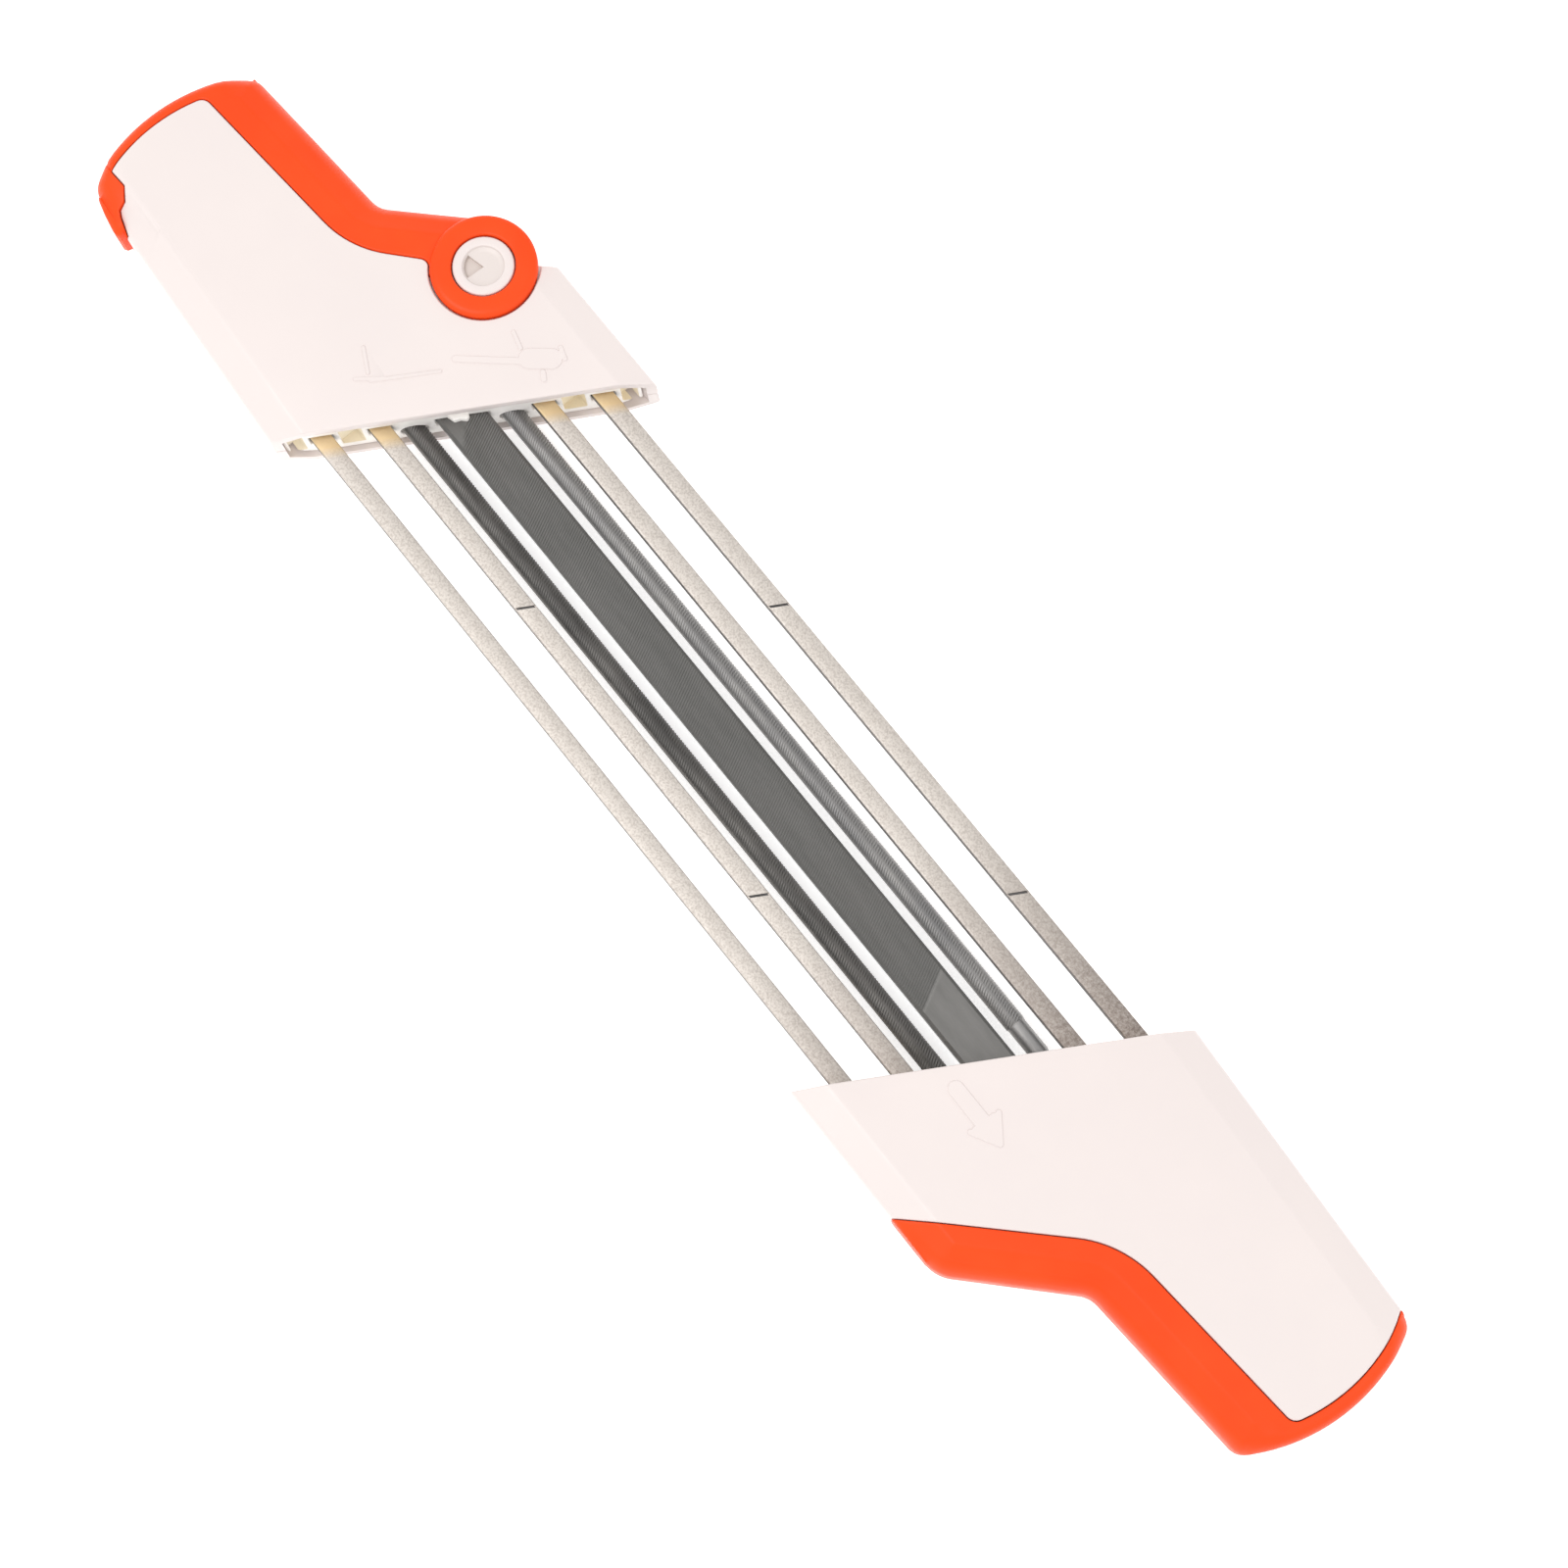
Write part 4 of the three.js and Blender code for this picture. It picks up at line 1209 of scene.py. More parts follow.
@dataclass
class PivotPin:
    """The pin that the lock lever swings on, in two pieces: a keyed pin and a cap.

    Attributes:
        head_round: width and fall of the rounding round both heads.
        recess_share: the recess's radius as a share of the head's.
        recess_round: width and fall of the rounding round the recess.
        dish_depth: how deep the recess is in the middle.
        dish_rise: how much less deep it is at its side.
        dish_slope: how wide the rise is.
        key_span: the angles, in degrees, that the key fills.
        key_share: the key's radius as a share of the recess's.
        key_tip: from the pin's axis to the key's point.
        key_depth: from the head's face to the key's floor.
        bore_end: how far above the tool's middle the pin's bore ends.
        stub_end: how far above the tool's middle the cap's stub ends, with the cap turned up.
    """

    head_round: tuple[float, float] = (0.45, 0.4)
    recess_share: float = 0.68
    recess_round: tuple[float, float] = (0.25, 0.2)
    dish_depth: float = 0.75
    dish_rise: float = 0.3
    dish_slope: float = 1.2
    key_span: tuple[float, float] = (14, 88)
    key_share: float = 0.93
    key_tip: float = 0.06
    key_depth: float = 1.5
    bore_end: float = 3.0
    stub_end: float = 2.0

    def head(self) -> Shape:
        """Builds the pivot pin: a keyed, recessed head on a hollow shaft."""
        s, pivot = SIZES, SIZES.pivot
        top = s.thickness + s.eye_rise - s.gap
        seat = s.thickness + s.eye_rise - s.eye_thickness
        recess = self.recess_share * s.pin_head
        key_angles = np.radians(np.linspace(*self.key_span, 14))
        key_middle = math.radians(sum(self.key_span) / 2)
        key = [pivot + self.key_tip * np.array([math.cos(key_middle), math.sin(key_middle)])]
        key += [pivot + self.key_share * recess * np.array([math.cos(a), math.sin(a)]) for a in key_angles]
        key_line = np.array(key)
        bore = s.pin_shaft - s.pin_wall
        rings = [s.pin_head - inset for inset in HEAD_INSETS]
        rings += [recess + step for step in RECESS_STEPS]
        rings += [s.pin_shaft, bore]

        def zone(points: Points) -> np.ndarray:
            """Shaft, head's rim, bore or outside."""
            away = np.hypot(*(points - pivot).T)
            found = np.where(away > s.pin_shaft, 1, np.where(away > bore, 0, 2))
            return np.where(away < s.pin_head, found, -1)

        def skin(points: Points) -> np.ndarray:
            """The head, with its dished recess and the key cut into it."""
            away = np.hypot(*(points - pivot).T)
            height = top - edge_drop(s.pin_head - away, *self.head_round)
            height -= edge_drop(away - recess, *self.recess_round)
            outward = smooth_step((away - recess + self.dish_slope) / self.dish_slope)
            dish = self.dish_depth - self.dish_rise * outward
            height = np.where(away < recess - 0.01, top - dish, height)
            keyed = contains(points, shrunk(key_line, -0.02))
            return np.where(keyed, top - self.key_depth, height)

        slab = Slab(
            zone=zone,
            top=skin,
            floors=(
                level(s.eye_thickness + 2 * s.gap),
                level(seat),
                level(s.middle + self.bore_end),
            ),
            loops=[*(circle(pivot, radius) for radius in rings), key_line, shrunk(key_line, -0.05)],
        )
        shape = slab.shape()
        # Recess faces take finish 1 and key faces finish 2: painted shade in the hollows.
        middles = np.array([shape.vertices[list(face)].mean(axis=0) for face in shape.faces])
        sunk = np.hypot(*(middles[:, :2] - pivot).T) < recess - 0.02
        sunk &= middles[:, 2] > top - self.key_depth - 0.1
        in_key = sunk & (middles[:, 2] < top - self.dish_depth - 0.15)
        shape.tags = (sunk * 1 + in_key * 1).tolist()
        return shape

    def cap(self) -> Shape:
        """Builds the cap under the lower eye, with the stub that enters the pin."""
        s, pivot = SIZES, SIZES.pivot
        stub = s.pin_shaft - s.pin_wall - s.gap
        rings = [*(s.pin_head - inset for inset in HEAD_INSETS), stub]

        def zone(points: Points) -> np.ndarray:
            """Stub, head or outside, seen from below."""
            away = np.hypot(*(points - pivot).T)
            return np.where(away < stub, 0, np.where(away < s.pin_head, 1, -1))

        def skin(points: Points) -> np.ndarray:
            """The head's rounded face."""
            away = np.hypot(*(points - pivot).T)
            return s.thickness - s.gap - edge_drop(s.pin_head - away, *self.head_round)

        slab = Slab(
            zone=zone,
            top=skin,
            floors=(
                level(s.thickness - s.middle - self.stub_end),
                level(s.thickness - s.eye_thickness - s.gap),
            ),
            loops=[circle(pivot, radius) for radius in rings],
        )
        return slab.shape().underside(s.thickness)


@dataclass
class LatchHandle:
    """The handle that the files slide out of, with the lock lever on its pivot pin.

    Attributes:
        saw: the raised strokes on its upper shell.
        nose: plan of the hook's tip, which the shells leave room for.
        bulge: plan of the swelling where the hook stands out of the long edge.
        bulge_from: the swelling's limits, along and across.
        arm_angle: where the parting leaves the lever's ring, about the pivot.
        arm_turn: how far round the ring from there the parting's next corner is.
        nose_gap: the room that the shells leave round the nose.
        nose_inset_y: how far across the lever turns from a skin into a solid.
        seat_skin: the wall left under that seat.
        seat_overlap: how far beyond the seat that wall reaches.
        eye_round: width and fall of the ring's outer rounding.
        bore_round: width and fall of its inner rounding.
        hook_tip: where the hook starts to fall away.
        hook_lean: how far that line leans for each millimetre across.
        hook_start_y: how far across the fall begins.
        hook_span: the ends, across, of the lines that the fall is split along.
        solid_from_x: the near end of the lever's strip along the long edge.
        arm_inset: how far the arm stands back from the waist's corner.
        arm_steps: how far across from that corner the arm's two steps are.
        rib_inset: from the rib that joins the stops to the far end.
    """

    form: HandleForm = field(
        default_factory=lambda: HandleForm(scoop_start_inset=68.3, scoop_bottom_inset=46.6, dented=True)
    )
    saw: Emboss = Emboss(
        (
            (97.2, -5.7, 87.8, -16.4, 0.75),
            (87.4, -17.8, 84.4, -21.4, 2.3),
            (94.2, -18.8, 90.4, -17.8, 0.45),
            (83.2, -18.2, 81.8, -17.4, 0.6),
            (85.2, -24.4, 82.6, -23.6, 0.5),
            (104.6, 11.0, 97.1, -1.6, 0.4),
            (111.5, 7.8, 106.4, 10.4, 0.4),
            (107.0, 13.4, 103.2, 8.4, 0.4),
        )
    )
    nose: tuple[tuple[float, float], ...] = (
        (177.6, 25.9),
        (173.5, 25.7),
        (171.0, 27.7),
        (170.5, 29.6),
        (169.3, 30.3),
        (165.5, 31.6),
        (165.2, 40.0),
        (200.0, 40.0),
        (200.0, 24.0),
    )
    bulge: tuple[tuple[float, float], ...] = (
        (177.0, 31.15),
        (175.2, 31.85),
        (172.4, 32.6),
        (168.6, 33.35),
        (167.4, 33.45),
        (166.6, 33.0),
        (166.4, 31.7),
    )
    bulge_round: float = 0.9
    bulge_from: tuple[float, float] = (177.0, 29.0)
    arm_angle: float = math.radians(43.2)
    arm_fillet: float = 2.0
    arm_turn: float = 0.28
    nose_gap: float = 0.22
    nose_lip: float = 0.3
    nose_inset_y: float = 22.0
    nose_start_y: float = 20.0
    seat_rim: float = 0.25
    seat_skin: float = 0.9
    seat_overlap: float = 0.5
    eye_round: tuple[float, float] = (1.8, 1.0)
    bore_round: tuple[float, float] = (0.55, 0.45)
    hook_tip: tuple[float, float] = (167.9, 29.0)
    hook_lean: float = 0.1
    hook_fall: float = 0.62
    hook_soft: float = 0.25
    hook_start_y: float = 25.0
    hook_span: tuple[float, float] = (27.5, 36.0)
    solid_from_x: float = 161.7
    plan_reach: float = 20.0
    plan_edge: float = 60.0
    arm_inset: float = 1.4
    arm_steps: tuple[float, float] = (5.0, 15.0)
    root_corner: tuple[float, float] = (3.0, 7.0)
    finger_width: float = 4.5
    finger_ends: tuple[float, float, float] = (178.6, 179.6, 180.3)
    finger_round: float = 0.3
    rib_inset: float = 34.0

    def parting(self) -> Parting:
        """This handle's parting line, which stops at the pivot and at the shoulder beyond it."""
        s = SIZES
        far = s.polar((s.pivot[1] + s.clear) / -math.sin(s.shoulder), s.shoulder)
        beside = s.polar(s.eye_radius + s.play, self.arm_angle)
        round_ring = s.polar(s.eye_radius + s.play, self.arm_angle + self.arm_turn)
        return Parting([(*far, 0), (*s.pivot, 0), (*round_ring, 0), (*beside, self.arm_fillet)])

    def corner_arc(self, radius: float) -> Points:
        """A stretch of the arc about the pivot that bounds the shells' far corner."""
        angles = np.radians(np.linspace(-20, 70, 160))
        return SIZES.pivot + radius * np.stack([np.cos(angles), np.sin(angles)], axis=1)

    def in_shell_plan(self, points: Points, seam: Points, nose: Points) -> np.ndarray:
        """Whether points belong to the shells' side of the parting."""
        reach = np.hypot(*(points - SIZES.pivot).T)
        return contains(points, seam) & (reach < SIZES.corner_radius) & ~contains(points, nose)

    def shell(self, rise: float, marks: Emboss | None) -> Shape:
        """Builds a half shell.

        Args:
            rise: how far the lever's eye on this side stands above the shell.
            marks: raised marks on it, if any.

        Returns:
            The shell, as an upper half.
        """
        s, form, parting = SIZES, self.form, self.parting()
        edge, inner = form.outline, rounded(form.corners(), s.wall)
        seam = parting.loop()
        nose = grown(np.array(self.nose), self.nose_gap)
        pivot = s.pivot
        seat = s.thickness + rise - s.eye_thickness - s.gap
        room = s.eye_radius + s.play
        lobe, hole = circle(pivot, s.lobe), circle(pivot, s.pin_shaft + s.gap)
        seat_lines = [circle(pivot, room + shift, RING_SIDES) for shift in (0.0, -RING_STEP, self.seat_rim)]
        stop = self.shoulder_wall()
        loops, paths = form.lines()
        loops += [inner, seam, *(parting.loop(inset) for inset in LIP_INSETS)]
        loops += [lobe, *seat_lines, hole, stop]
        loops += [nose, grown(nose, 0.12), grown(nose, self.nose_lip)]
        loops += [rounded(form.corners(), s.join_chamfer)]
        loops += marks.loops() if marks else []
        paths += [self.corner_arc(s.corner_radius - inset) for inset in (0.0, *LIP_INSETS)]
        arc = self.corner_arc(s.corner_radius)

        def zone(points: Points) -> np.ndarray:
            """Wall, hollow or outside."""
            away = np.hypot(*(points - pivot).T)
            inside = self.in_shell_plan(points, seam, nose) | contains(points, lobe)
            inside &= contains(points, edge) & (behind_mouth(points) > 0) & ~contains(points, hole)
            hollow = contains(points, inner) & (away > s.lobe) & ~contains(points, stop)
            return np.where(inside, np.where(hollow, 1, 0), -1)

        def skin(points: Points) -> np.ndarray:
            """The outside surface with its softened lips and the seat under the lever's eye."""
            away = np.hypot(*(points - pivot).T)
            lips = edge_drop(distance(points, seam), s.lip, s.lip)
            lips = np.maximum(lips, edge_drop(np.abs(behind_mouth(points)), s.lip, s.lip))
            lips = np.maximum(lips, edge_drop(distance(points, arc, closed=False), s.lip, s.lip))
            lips = np.maximum(lips, edge_drop(distance(points, nose), self.nose_lip, self.nose_lip))
            lips = np.maximum(lips, edge_drop(np.abs(away - room), self.seat_rim, self.seat_rim))
            height = form.crown(points) - lips + (marks.rise(points) if marks else 0.0)
            return np.where(away < room - 0.01, np.minimum(height, seat), height)

        def join_line(points: Points) -> np.ndarray:
            """The foot of the walls, chamfered along the outside."""
            return s.middle + s.gap / 2 + np.clip(s.join_chamfer - distance(points, edge), 0, None)

        def ceiling(points: Points) -> np.ndarray:
            """The inside of the skin, lower under the eye's seat."""
            away = np.hypot(*(points - pivot).T)
            height = form.crown(points) - s.wall
            under_seat = np.minimum(height, seat - self.seat_skin)
            return np.where(away < room + self.seat_overlap, under_seat, height)

        slab = Slab(zone, skin, (join_line, ceiling), loops, [*paths, *mouth_paths()])
        return slab.shape()

    def shoulder_wall(self) -> Points:
        """Plan of the wall behind the shoulder, from the pivot out to the long edge."""
        s = SIZES
        along = np.array([math.cos(s.shoulder), math.sin(s.shoulder)])
        across = np.array([along[1], -along[0]]) * s.wall
        start, end = s.pivot, s.pivot + along * s.half_width
        return np.array([start, end, end + across, start + across])[::-1]

    def lever_plan(self) -> Points:
        """Everything on the finger side and the tail side, before the shells' room is cut."""
        s = SIZES
        x, y = s.seam_waist
        near, far = self.arm_steps
        return np.array(
            [
                s.pivot,
                s.polar(s.half_width, s.lever_root),
                (s.tail + self.plan_reach, -s.tail),
                (s.tail + self.plan_reach, self.plan_edge),
                (self.solid_from_x, self.plan_edge),
                (self.solid_from_x, y + far),
                (x - self.arm_inset, y + near),
                s.pivot + np.array(self.root_corner),
            ]
        )

    def lever_half(self, rise: float) -> Shape:
        """Builds half of the lock lever, from the middle up.

        Args:
            rise: how far its eye stands above the shell.

        Returns:
            The half, open at the middle.
        """
        s, form, parting = SIZES, self.form, self.parting()
        pivot = s.pivot
        edge, inner = form.outline, rounded(form.corners(), s.grip_wall)
        seam, nose, plan = parting.loop(-s.seam), np.array(self.nose), self.lever_plan()
        eye = circle(pivot, s.eye_radius, RING_SIDES)
        eye_foot = circle(pivot, s.eye_radius + RING_STEP, RING_SIDES)
        hole = circle(pivot, s.pin_head + s.gap)
        lobe_room = circle(pivot, s.lobe + s.play)
        loops, paths = form.lines()
        loops += [inner, seam, nose, *(parting.loop(-s.seam - inset) for inset in LIP_INSETS)]
        loops += [eye, eye_foot, hole, lobe_room, plan]
        loops += [circle(pivot, s.eye_radius - inset, RING_SIDES) for inset in EYE_INSETS]
        loops += [circle(pivot, s.pin_head + s.gap + inset) for inset in BORE_INSETS]
        arc_radius = s.corner_radius + s.seam
        paths += [self.corner_arc(arc_radius + inset) for inset in (0.0, *LIP_INSETS)]
        loops += [shrunk(nose, inset) for inset in (0.12, self.nose_lip)]
        for x in HOOK_COLUMNS:
            paths.append(np.array([[x + 0.3, self.hook_span[0]], [x, self.hook_span[1]]]))
        paths.append(np.array([[150.0, self.nose_inset_y], [190.0, self.nose_inset_y]]))
        arc = self.corner_arc(arc_radius)
        bulge = np.array(self.bulge)
        loops += [bulge, *(shrunk(bulge, inset) for inset in (0.04, 0.14, 0.32))]

        def zone(points: Points) -> np.ndarray:
            """Solid rim, skin, eye or outside."""
            away = np.hypot(*(points - pivot).T)
            shells = contains(points, seam) & (away < arc_radius)
            body = contains(points, plan) & ~shells | contains(points, nose)
            body = body & contains(points, edge) | contains(points, bulge)
            rim = ~contains(points, inner) | (points[:, 1] > self.nose_inset_y)
            in_eye = (away < s.eye_radius) & (away > s.pin_head + s.gap)
            found = np.where(body, np.where(rim, 0, 1), -1)
            found = np.where(in_eye & (~body | ~rim | (away < s.lobe + s.play)), 2, found)
            return np.where(away < s.pin_head + s.gap, -1, found)

        def skin(points: Points) -> np.ndarray:
            """The arm's surface, its fall along the hook, and the eye."""
            away = np.hypot(*(points - pivot).T)
            x, y = points[:, 0], points[:, 1]
            lips = edge_drop(distance(points, seam), s.lip, s.lip)
            lips = np.maximum(lips, edge_drop(distance(points, arc, closed=False), s.lip, s.lip))
            nose_lip = edge_drop(distance(points, nose), self.nose_lip, self.nose_lip)
            lips = np.where(y > self.nose_start_y, nose_lip, lips)
            along = self.hook_tip[0] - x - (y - self.hook_tip[1]) * self.hook_lean
            hooked = np.where(y > self.hook_start_y, soft_over(along * self.hook_fall, self.hook_soft), 0.0)
            arm = form_without_dent.crown(points) - lips - hooked
            inward = np.clip(s.edge_y(x) - y, 0, None)
            outward = distance(points, bulge, closed=False)
            eased = edge_drop(inward, form.crisp_round, form.crisp_round)
            eased = eased - edge_drop(outward, self.bulge_round, self.bulge_round)
            arm = arm + np.where((y > self.bulge_from[1]) & (x < self.bulge_from[0]), eased, 0.0)
            outer = edge_drop(s.eye_radius - away, *self.eye_round)
            bore = edge_drop(away - s.pin_head - s.gap, *self.bore_round)
            eye_top = s.thickness + rise - np.maximum(outer, bore)
            return np.where(away < s.eye_radius + 0.01, np.maximum(eye_top, arm), arm)

        form_without_dent = HandleForm(form.scoop_start_inset, form.scoop_bottom_inset)
        slab = Slab(
            zone=zone,
            top=skin,
            floors=(
                level(s.middle),
                lambda points: form_without_dent.crown(points) - s.grip_wall,
                level(s.thickness + rise - s.eye_thickness),
            ),
            loops=loops,
            paths=paths,
            open_zones=frozenset({0}),
        )
        return slab.shape()

    def file_stops(self) -> Shape:
        """Builds the three fingers inside the lever that reach the files' tips, and their cross rib."""
        s = SIZES
        file_low, file_high = box_mm("round_file_left")
        flat_high = box_mm("flat_file")[1]
        half = self.finger_width / 2
        tip = -file_low[0] + s.play
        rib = s.tail - self.rib_inset
        rows = (file_low[1] + file_high[1]) / 2 * np.array([1.0, 0.0, -1.0])
        plans = [rectangle((tip, y - half), (end, y + half)) for y, end in zip(rows, self.finger_ends)]
        plans.append(rectangle((rib, rows[0]), (rib + self.finger_width, rows[2])))
        soft = [shrunk(plan, inset) for plan in plans for inset in (0.1, self.finger_round)]

        def zone(points: Points) -> np.ndarray:
            """Finger or outside."""
            inside = np.zeros(len(points), bool)
            for plan in plans:
                inside |= contains(points, plan)
            return np.where(inside, 0, -1)

        def skin(points: Points) -> np.ndarray:
            """The fingers' upper side."""
            depth = np.zeros(len(points))
            for plan in plans:
                depth = np.maximum(depth, np.where(contains(points, plan), distance(points, plan), 0))
            return flat_high[2] - edge_drop(depth, self.finger_round, self.finger_round)

        return Slab(zone, skin, (level(file_low[2]),), [*plans, *soft]).shape()

    def lever(self) -> Shape:
        """Builds the whole lever."""
        upper = self.lever_half(SIZES.eye_rise)
        lower = self.lever_half(0.0).underside(SIZES.thickness)
        return upper.joined(lower, self.file_stops())

    def build(self, finishes: Finishes) -> None:
        """Makes the handle's pieces.

        Args:
            finishes: the tool's finishes.
        """
        top = self.shell(SIZES.eye_rise, self.saw).turned()
        bottom = self.shell(0.0, None).underside(SIZES.thickness).turned()
        add_piece("latch_top_cover", top, [finishes.white], Slot.WHITE, ["latch_handle_top_shell"])
        add_piece("latch_bottom_cover", bottom, [finishes.white], Slot.WHITE, ["latch_handle_bottom_shell"])
        lever = self.lever().turned()
        add_piece("lock_lever_arm", lever, [finishes.orange], Slot.ORANGE, ["lock_lever"], Body.LEVER)
        pin_finishes = [finishes.white, finishes.dish, finishes.key]
        pin = PivotPin()
        add_piece("pivot_pin_head", pin.head().turned(), pin_finishes, Slot.WHITE, ["pivot_pin"])
        add_piece("pivot_pin_cap", pin.cap().turned(), [finishes.white], Slot.WHITE, ["pivot_cap"])


# ---------------------------------------------------------------- carrier blocks


@dataclass
class CarrierBlock:
    """A moulded block behind a mouth that carries the bars and the files.

    It is drawn looking at the mouth: across the tool and up, with its depth along X.

    Attributes:
        name: the piece's name.
        node: the CAD node that it stands for.
        depth: from its front face to its back face.
        file_ends: where the round files' ways and the flat file's way end, or None to run through.
        turned: whether it belongs to the latch handle.
        recess: how far its front face stands behind the mouth.
        rib: the wall beside each bar's slot.
        pocket_depth: how deep the pockets between the slots are.
        outline_share: the outline's rounding as a share of the openings'.
        crest_inset: how much narrower the section's slopes are than the handle's.
        taper_from: how far across the band that follows the taper starts.
        tab_lift: the room between the file and that tab.
    """

    name: str
    node: str
    depth: float
    file_ends: tuple[float, float] | None
    turned: bool
    recess: float = 1.2
    rib: float = 1.0
    pocket_depth: float = 3.6
    slot_depth: float = 16.3
    edge: float = 0.25
    outline_share: float = 1.6
    side_round: float = 0.8
    crest_round: float = 2.0
    crest_inset: float = 0.4
    crest_drop: float = 0.25
    pocket_side: float = 0.7
    pocket_round: float = 0.5
    taper_from: float = 30.6
    taper_width: float = 2.6
    tab_thickness: float = 1.5
    tab_lift: float = 0.15
    tab_round: float = 0.4

    def section(self) -> Points:
        """The block's outline, a little smaller than the shells' inside."""
        s = SIZES
        gap = s.wall + s.gap
        half, low, high = s.half_width - gap, gap, s.thickness - gap
        crest = s.facet_width - self.crest_inset
        drop = s.facet_drop - self.crest_drop
        corners = [
            (-half, low + drop, self.side_round),
            (-half + crest, low, self.crest_round),
            (half - crest, low, self.crest_round),
            (half, low + drop, self.side_round),
            (half, high - drop, self.side_round),
            (half - crest, high, self.crest_round),
            (-half + crest, high, self.crest_round),
            (-half, high - drop, self.side_round),
        ]
        return rounded(corners)

    def build(self, finishes: Finishes) -> None:
        """Makes the block.

        Args:
            finishes: the tool's finishes.
        """
        s = SIZES
        sign = -1.0 if self.turned else 1.0
        rows = ("outer_left", "inner_left", "inner_right", "outer_right")
        bars = [box_mm(f"guide_bar_{row}") for row in rows]
        centres = sorted(sign * (low[1] + high[1]) / 2 for low, high in bars)
        bar_low, bar_high = bars[0][0][2], bars[0][1][2]
        half_bar = (bars[0][1][1] - bars[0][0][1]) / 2
        file_low, file_high = box_mm("round_file_left")
        flat_low, flat_high = box_mm("flat_file")
        file_z, file_y = (file_low[2] + file_high[2]) / 2, abs(file_low[1] + file_high[1]) / 2
        hole = (file_high[1] - file_low[1]) / 2 + s.play
        outline = self.section()
        slots = [
            rectangle((y - half_bar - s.gap, bar_low - s.gap), (y + half_bar + s.gap, bar_high + 2 * s.gap))
            for y in centres
        ]
        reach = half_bar + s.gap + self.rib
        spans = [
            (centres[2] + reach, centres[3] - reach),
            (centres[3] + reach, s.half_width - s.wall - s.gap - self.pocket_side),
        ]
        spans += [(-outer, -inner) for inner, outer in spans]
        low, high = 2 * s.wall, s.thickness - 2 * s.wall
        pockets = [
            rounded([(y, z, self.pocket_round) for y, z in ((a, low), (b, low), (b, high), (a, high))])
            for a, b in spans
        ]
        ways = [circle(np.array([side * file_y, file_z]), hole, 40) for side in (1, -1)]
        flat_half = (flat_high[1] - flat_low[1]) / 2 + s.gap
        ways.append(rectangle((-flat_half, flat_low[2] - s.gap), (flat_half, flat_high[2] + s.gap)))
        openings = [*slots, *pockets, *ways]
        through = self.file_ends is None

        def zone(points: Points) -> np.ndarray:
            """Front face, slots, pockets, ways, or outside."""
            found = np.where(contains(points, outline), 0, -1)
            for i, loop in enumerate(openings):
                inside = contains(points, loop)
                number = -1 if through and i >= len(slots) + len(pockets) else i + 1
                found = np.where(inside, number, found)
            return found

        def front(points: Points) -> np.ndarray:
            """The front face, with softened edges."""
            outer_round = self.edge * self.outline_share
            soft = edge_drop(distance(points, outline), outer_round, outer_round)
            for loop in openings:
                soft = np.maximum(soft, edge_drop(distance(points, loop), self.edge, self.edge))
            return s.mouth_x(points[:, 0]) + self.recess + soft

        def bottom(i: int) -> Height:
            """How deep one opening goes."""
            if i < len(slots):
                end = s.mouth_x(centres[i]) + self.slot_depth
            elif i < len(slots) + len(pockets):
                end = s.mouth_x(spans[i - len(slots)][0]) + self.recess + self.pocket_depth
            elif self.file_ends is None:
                end = 0.0
            else:
                end = self.file_ends[0 if i < len(openings) - 1 else 1]
            return level(end)

        soft_loops = [shrunk(loop, -self.edge) for loop in openings if len(loop) == 4]
        soft_loops += [circle(np.array([side * file_y, file_z]), hole + self.edge, 40) for side in (1, -1)]
        pocket_loops = [grown(loop, self.edge) for loop in pockets]
        outline_loops = [outline, shrunk(outline, 0.15), shrunk(outline, 0.4)]
        slab = Slab(
            zone=zone,
            top=lambda points: s.mouth_x(points[:, 0]) + self.recess + self.depth,
            floors=(front, *(bottom(i) for i in range(len(openings)))),
            loops=[*outline_loops, *openings, *soft_loops, *pocket_loops],
            # Pocket floors and walls take finish 1: painted warm shade and glow.
            floor_tags=(0, *([0] * len(slots)), *([1] * len(pockets)), *([0] * len(ways))),
        )
        shape = slab.shape().mapped(lambda v: np.stack([v[:, 2], v[:, 0], v[:, 1]], axis=1))
        shape = self.tapered(shape)
        if self.turned:
            shape = shape.turned().joined(self.file_tab(flat_high[2]))
        add_piece(self.name, shape, [finishes.block, finishes.pocket_shade], Slot.CREAM, [self.node])

    def file_tab(self, height: float) -> Shape:
        """Builds the two-lobed tab that holds the flat file down.

        Args:
            height: the flat file's upper side.

        Returns:
            The tab, in the tool's frame.
        """
        plan = rounded(
            [
                (-92.6, -3.4, 0.3),
                (-88.5, -2.2, 0.5),
                (-88.0, -0.9, 0.3),
                (-86.9, 0.2, 0.5),
                (-87.4, 1.0, 0.4),
                (-89.2, 1.7, 0.5),
                (-92.6, 0.6, 0.3),
            ]
        )
        top = height + self.tab_thickness
        return Slab(
            zone=lambda p: np.where(contains(p, plan), 0, -1),
            top=lambda p: top - edge_drop(distance(p, plan), self.tab_round, self.tab_round),
            floors=(level(height + self.tab_lift),),
            loops=[plan, shrunk(plan, 0.12), shrunk(plan, self.tab_round)],
        ).shape()

    def tapered(self, shape: Shape) -> Shape:
        """Draws the block's outermost band in where the handle's long edge tapers."""
        s = SIZES

        def place(vertices: Points) -> Points:
            """Moves the band inwards."""
            x, y = vertices[:, 0], vertices[:, 1]
            share = np.clip((y - self.taper_from) / self.taper_width, 0, 1)
            behind = np.clip(x - s.mouth_x(s.half_width), 0, None)
            moved = vertices.copy()
            moved[:, 1] = y - s.taper * behind * share
            return moved

        return shape.mapped(place)


# ---------------------------------------------------------------- bars and files


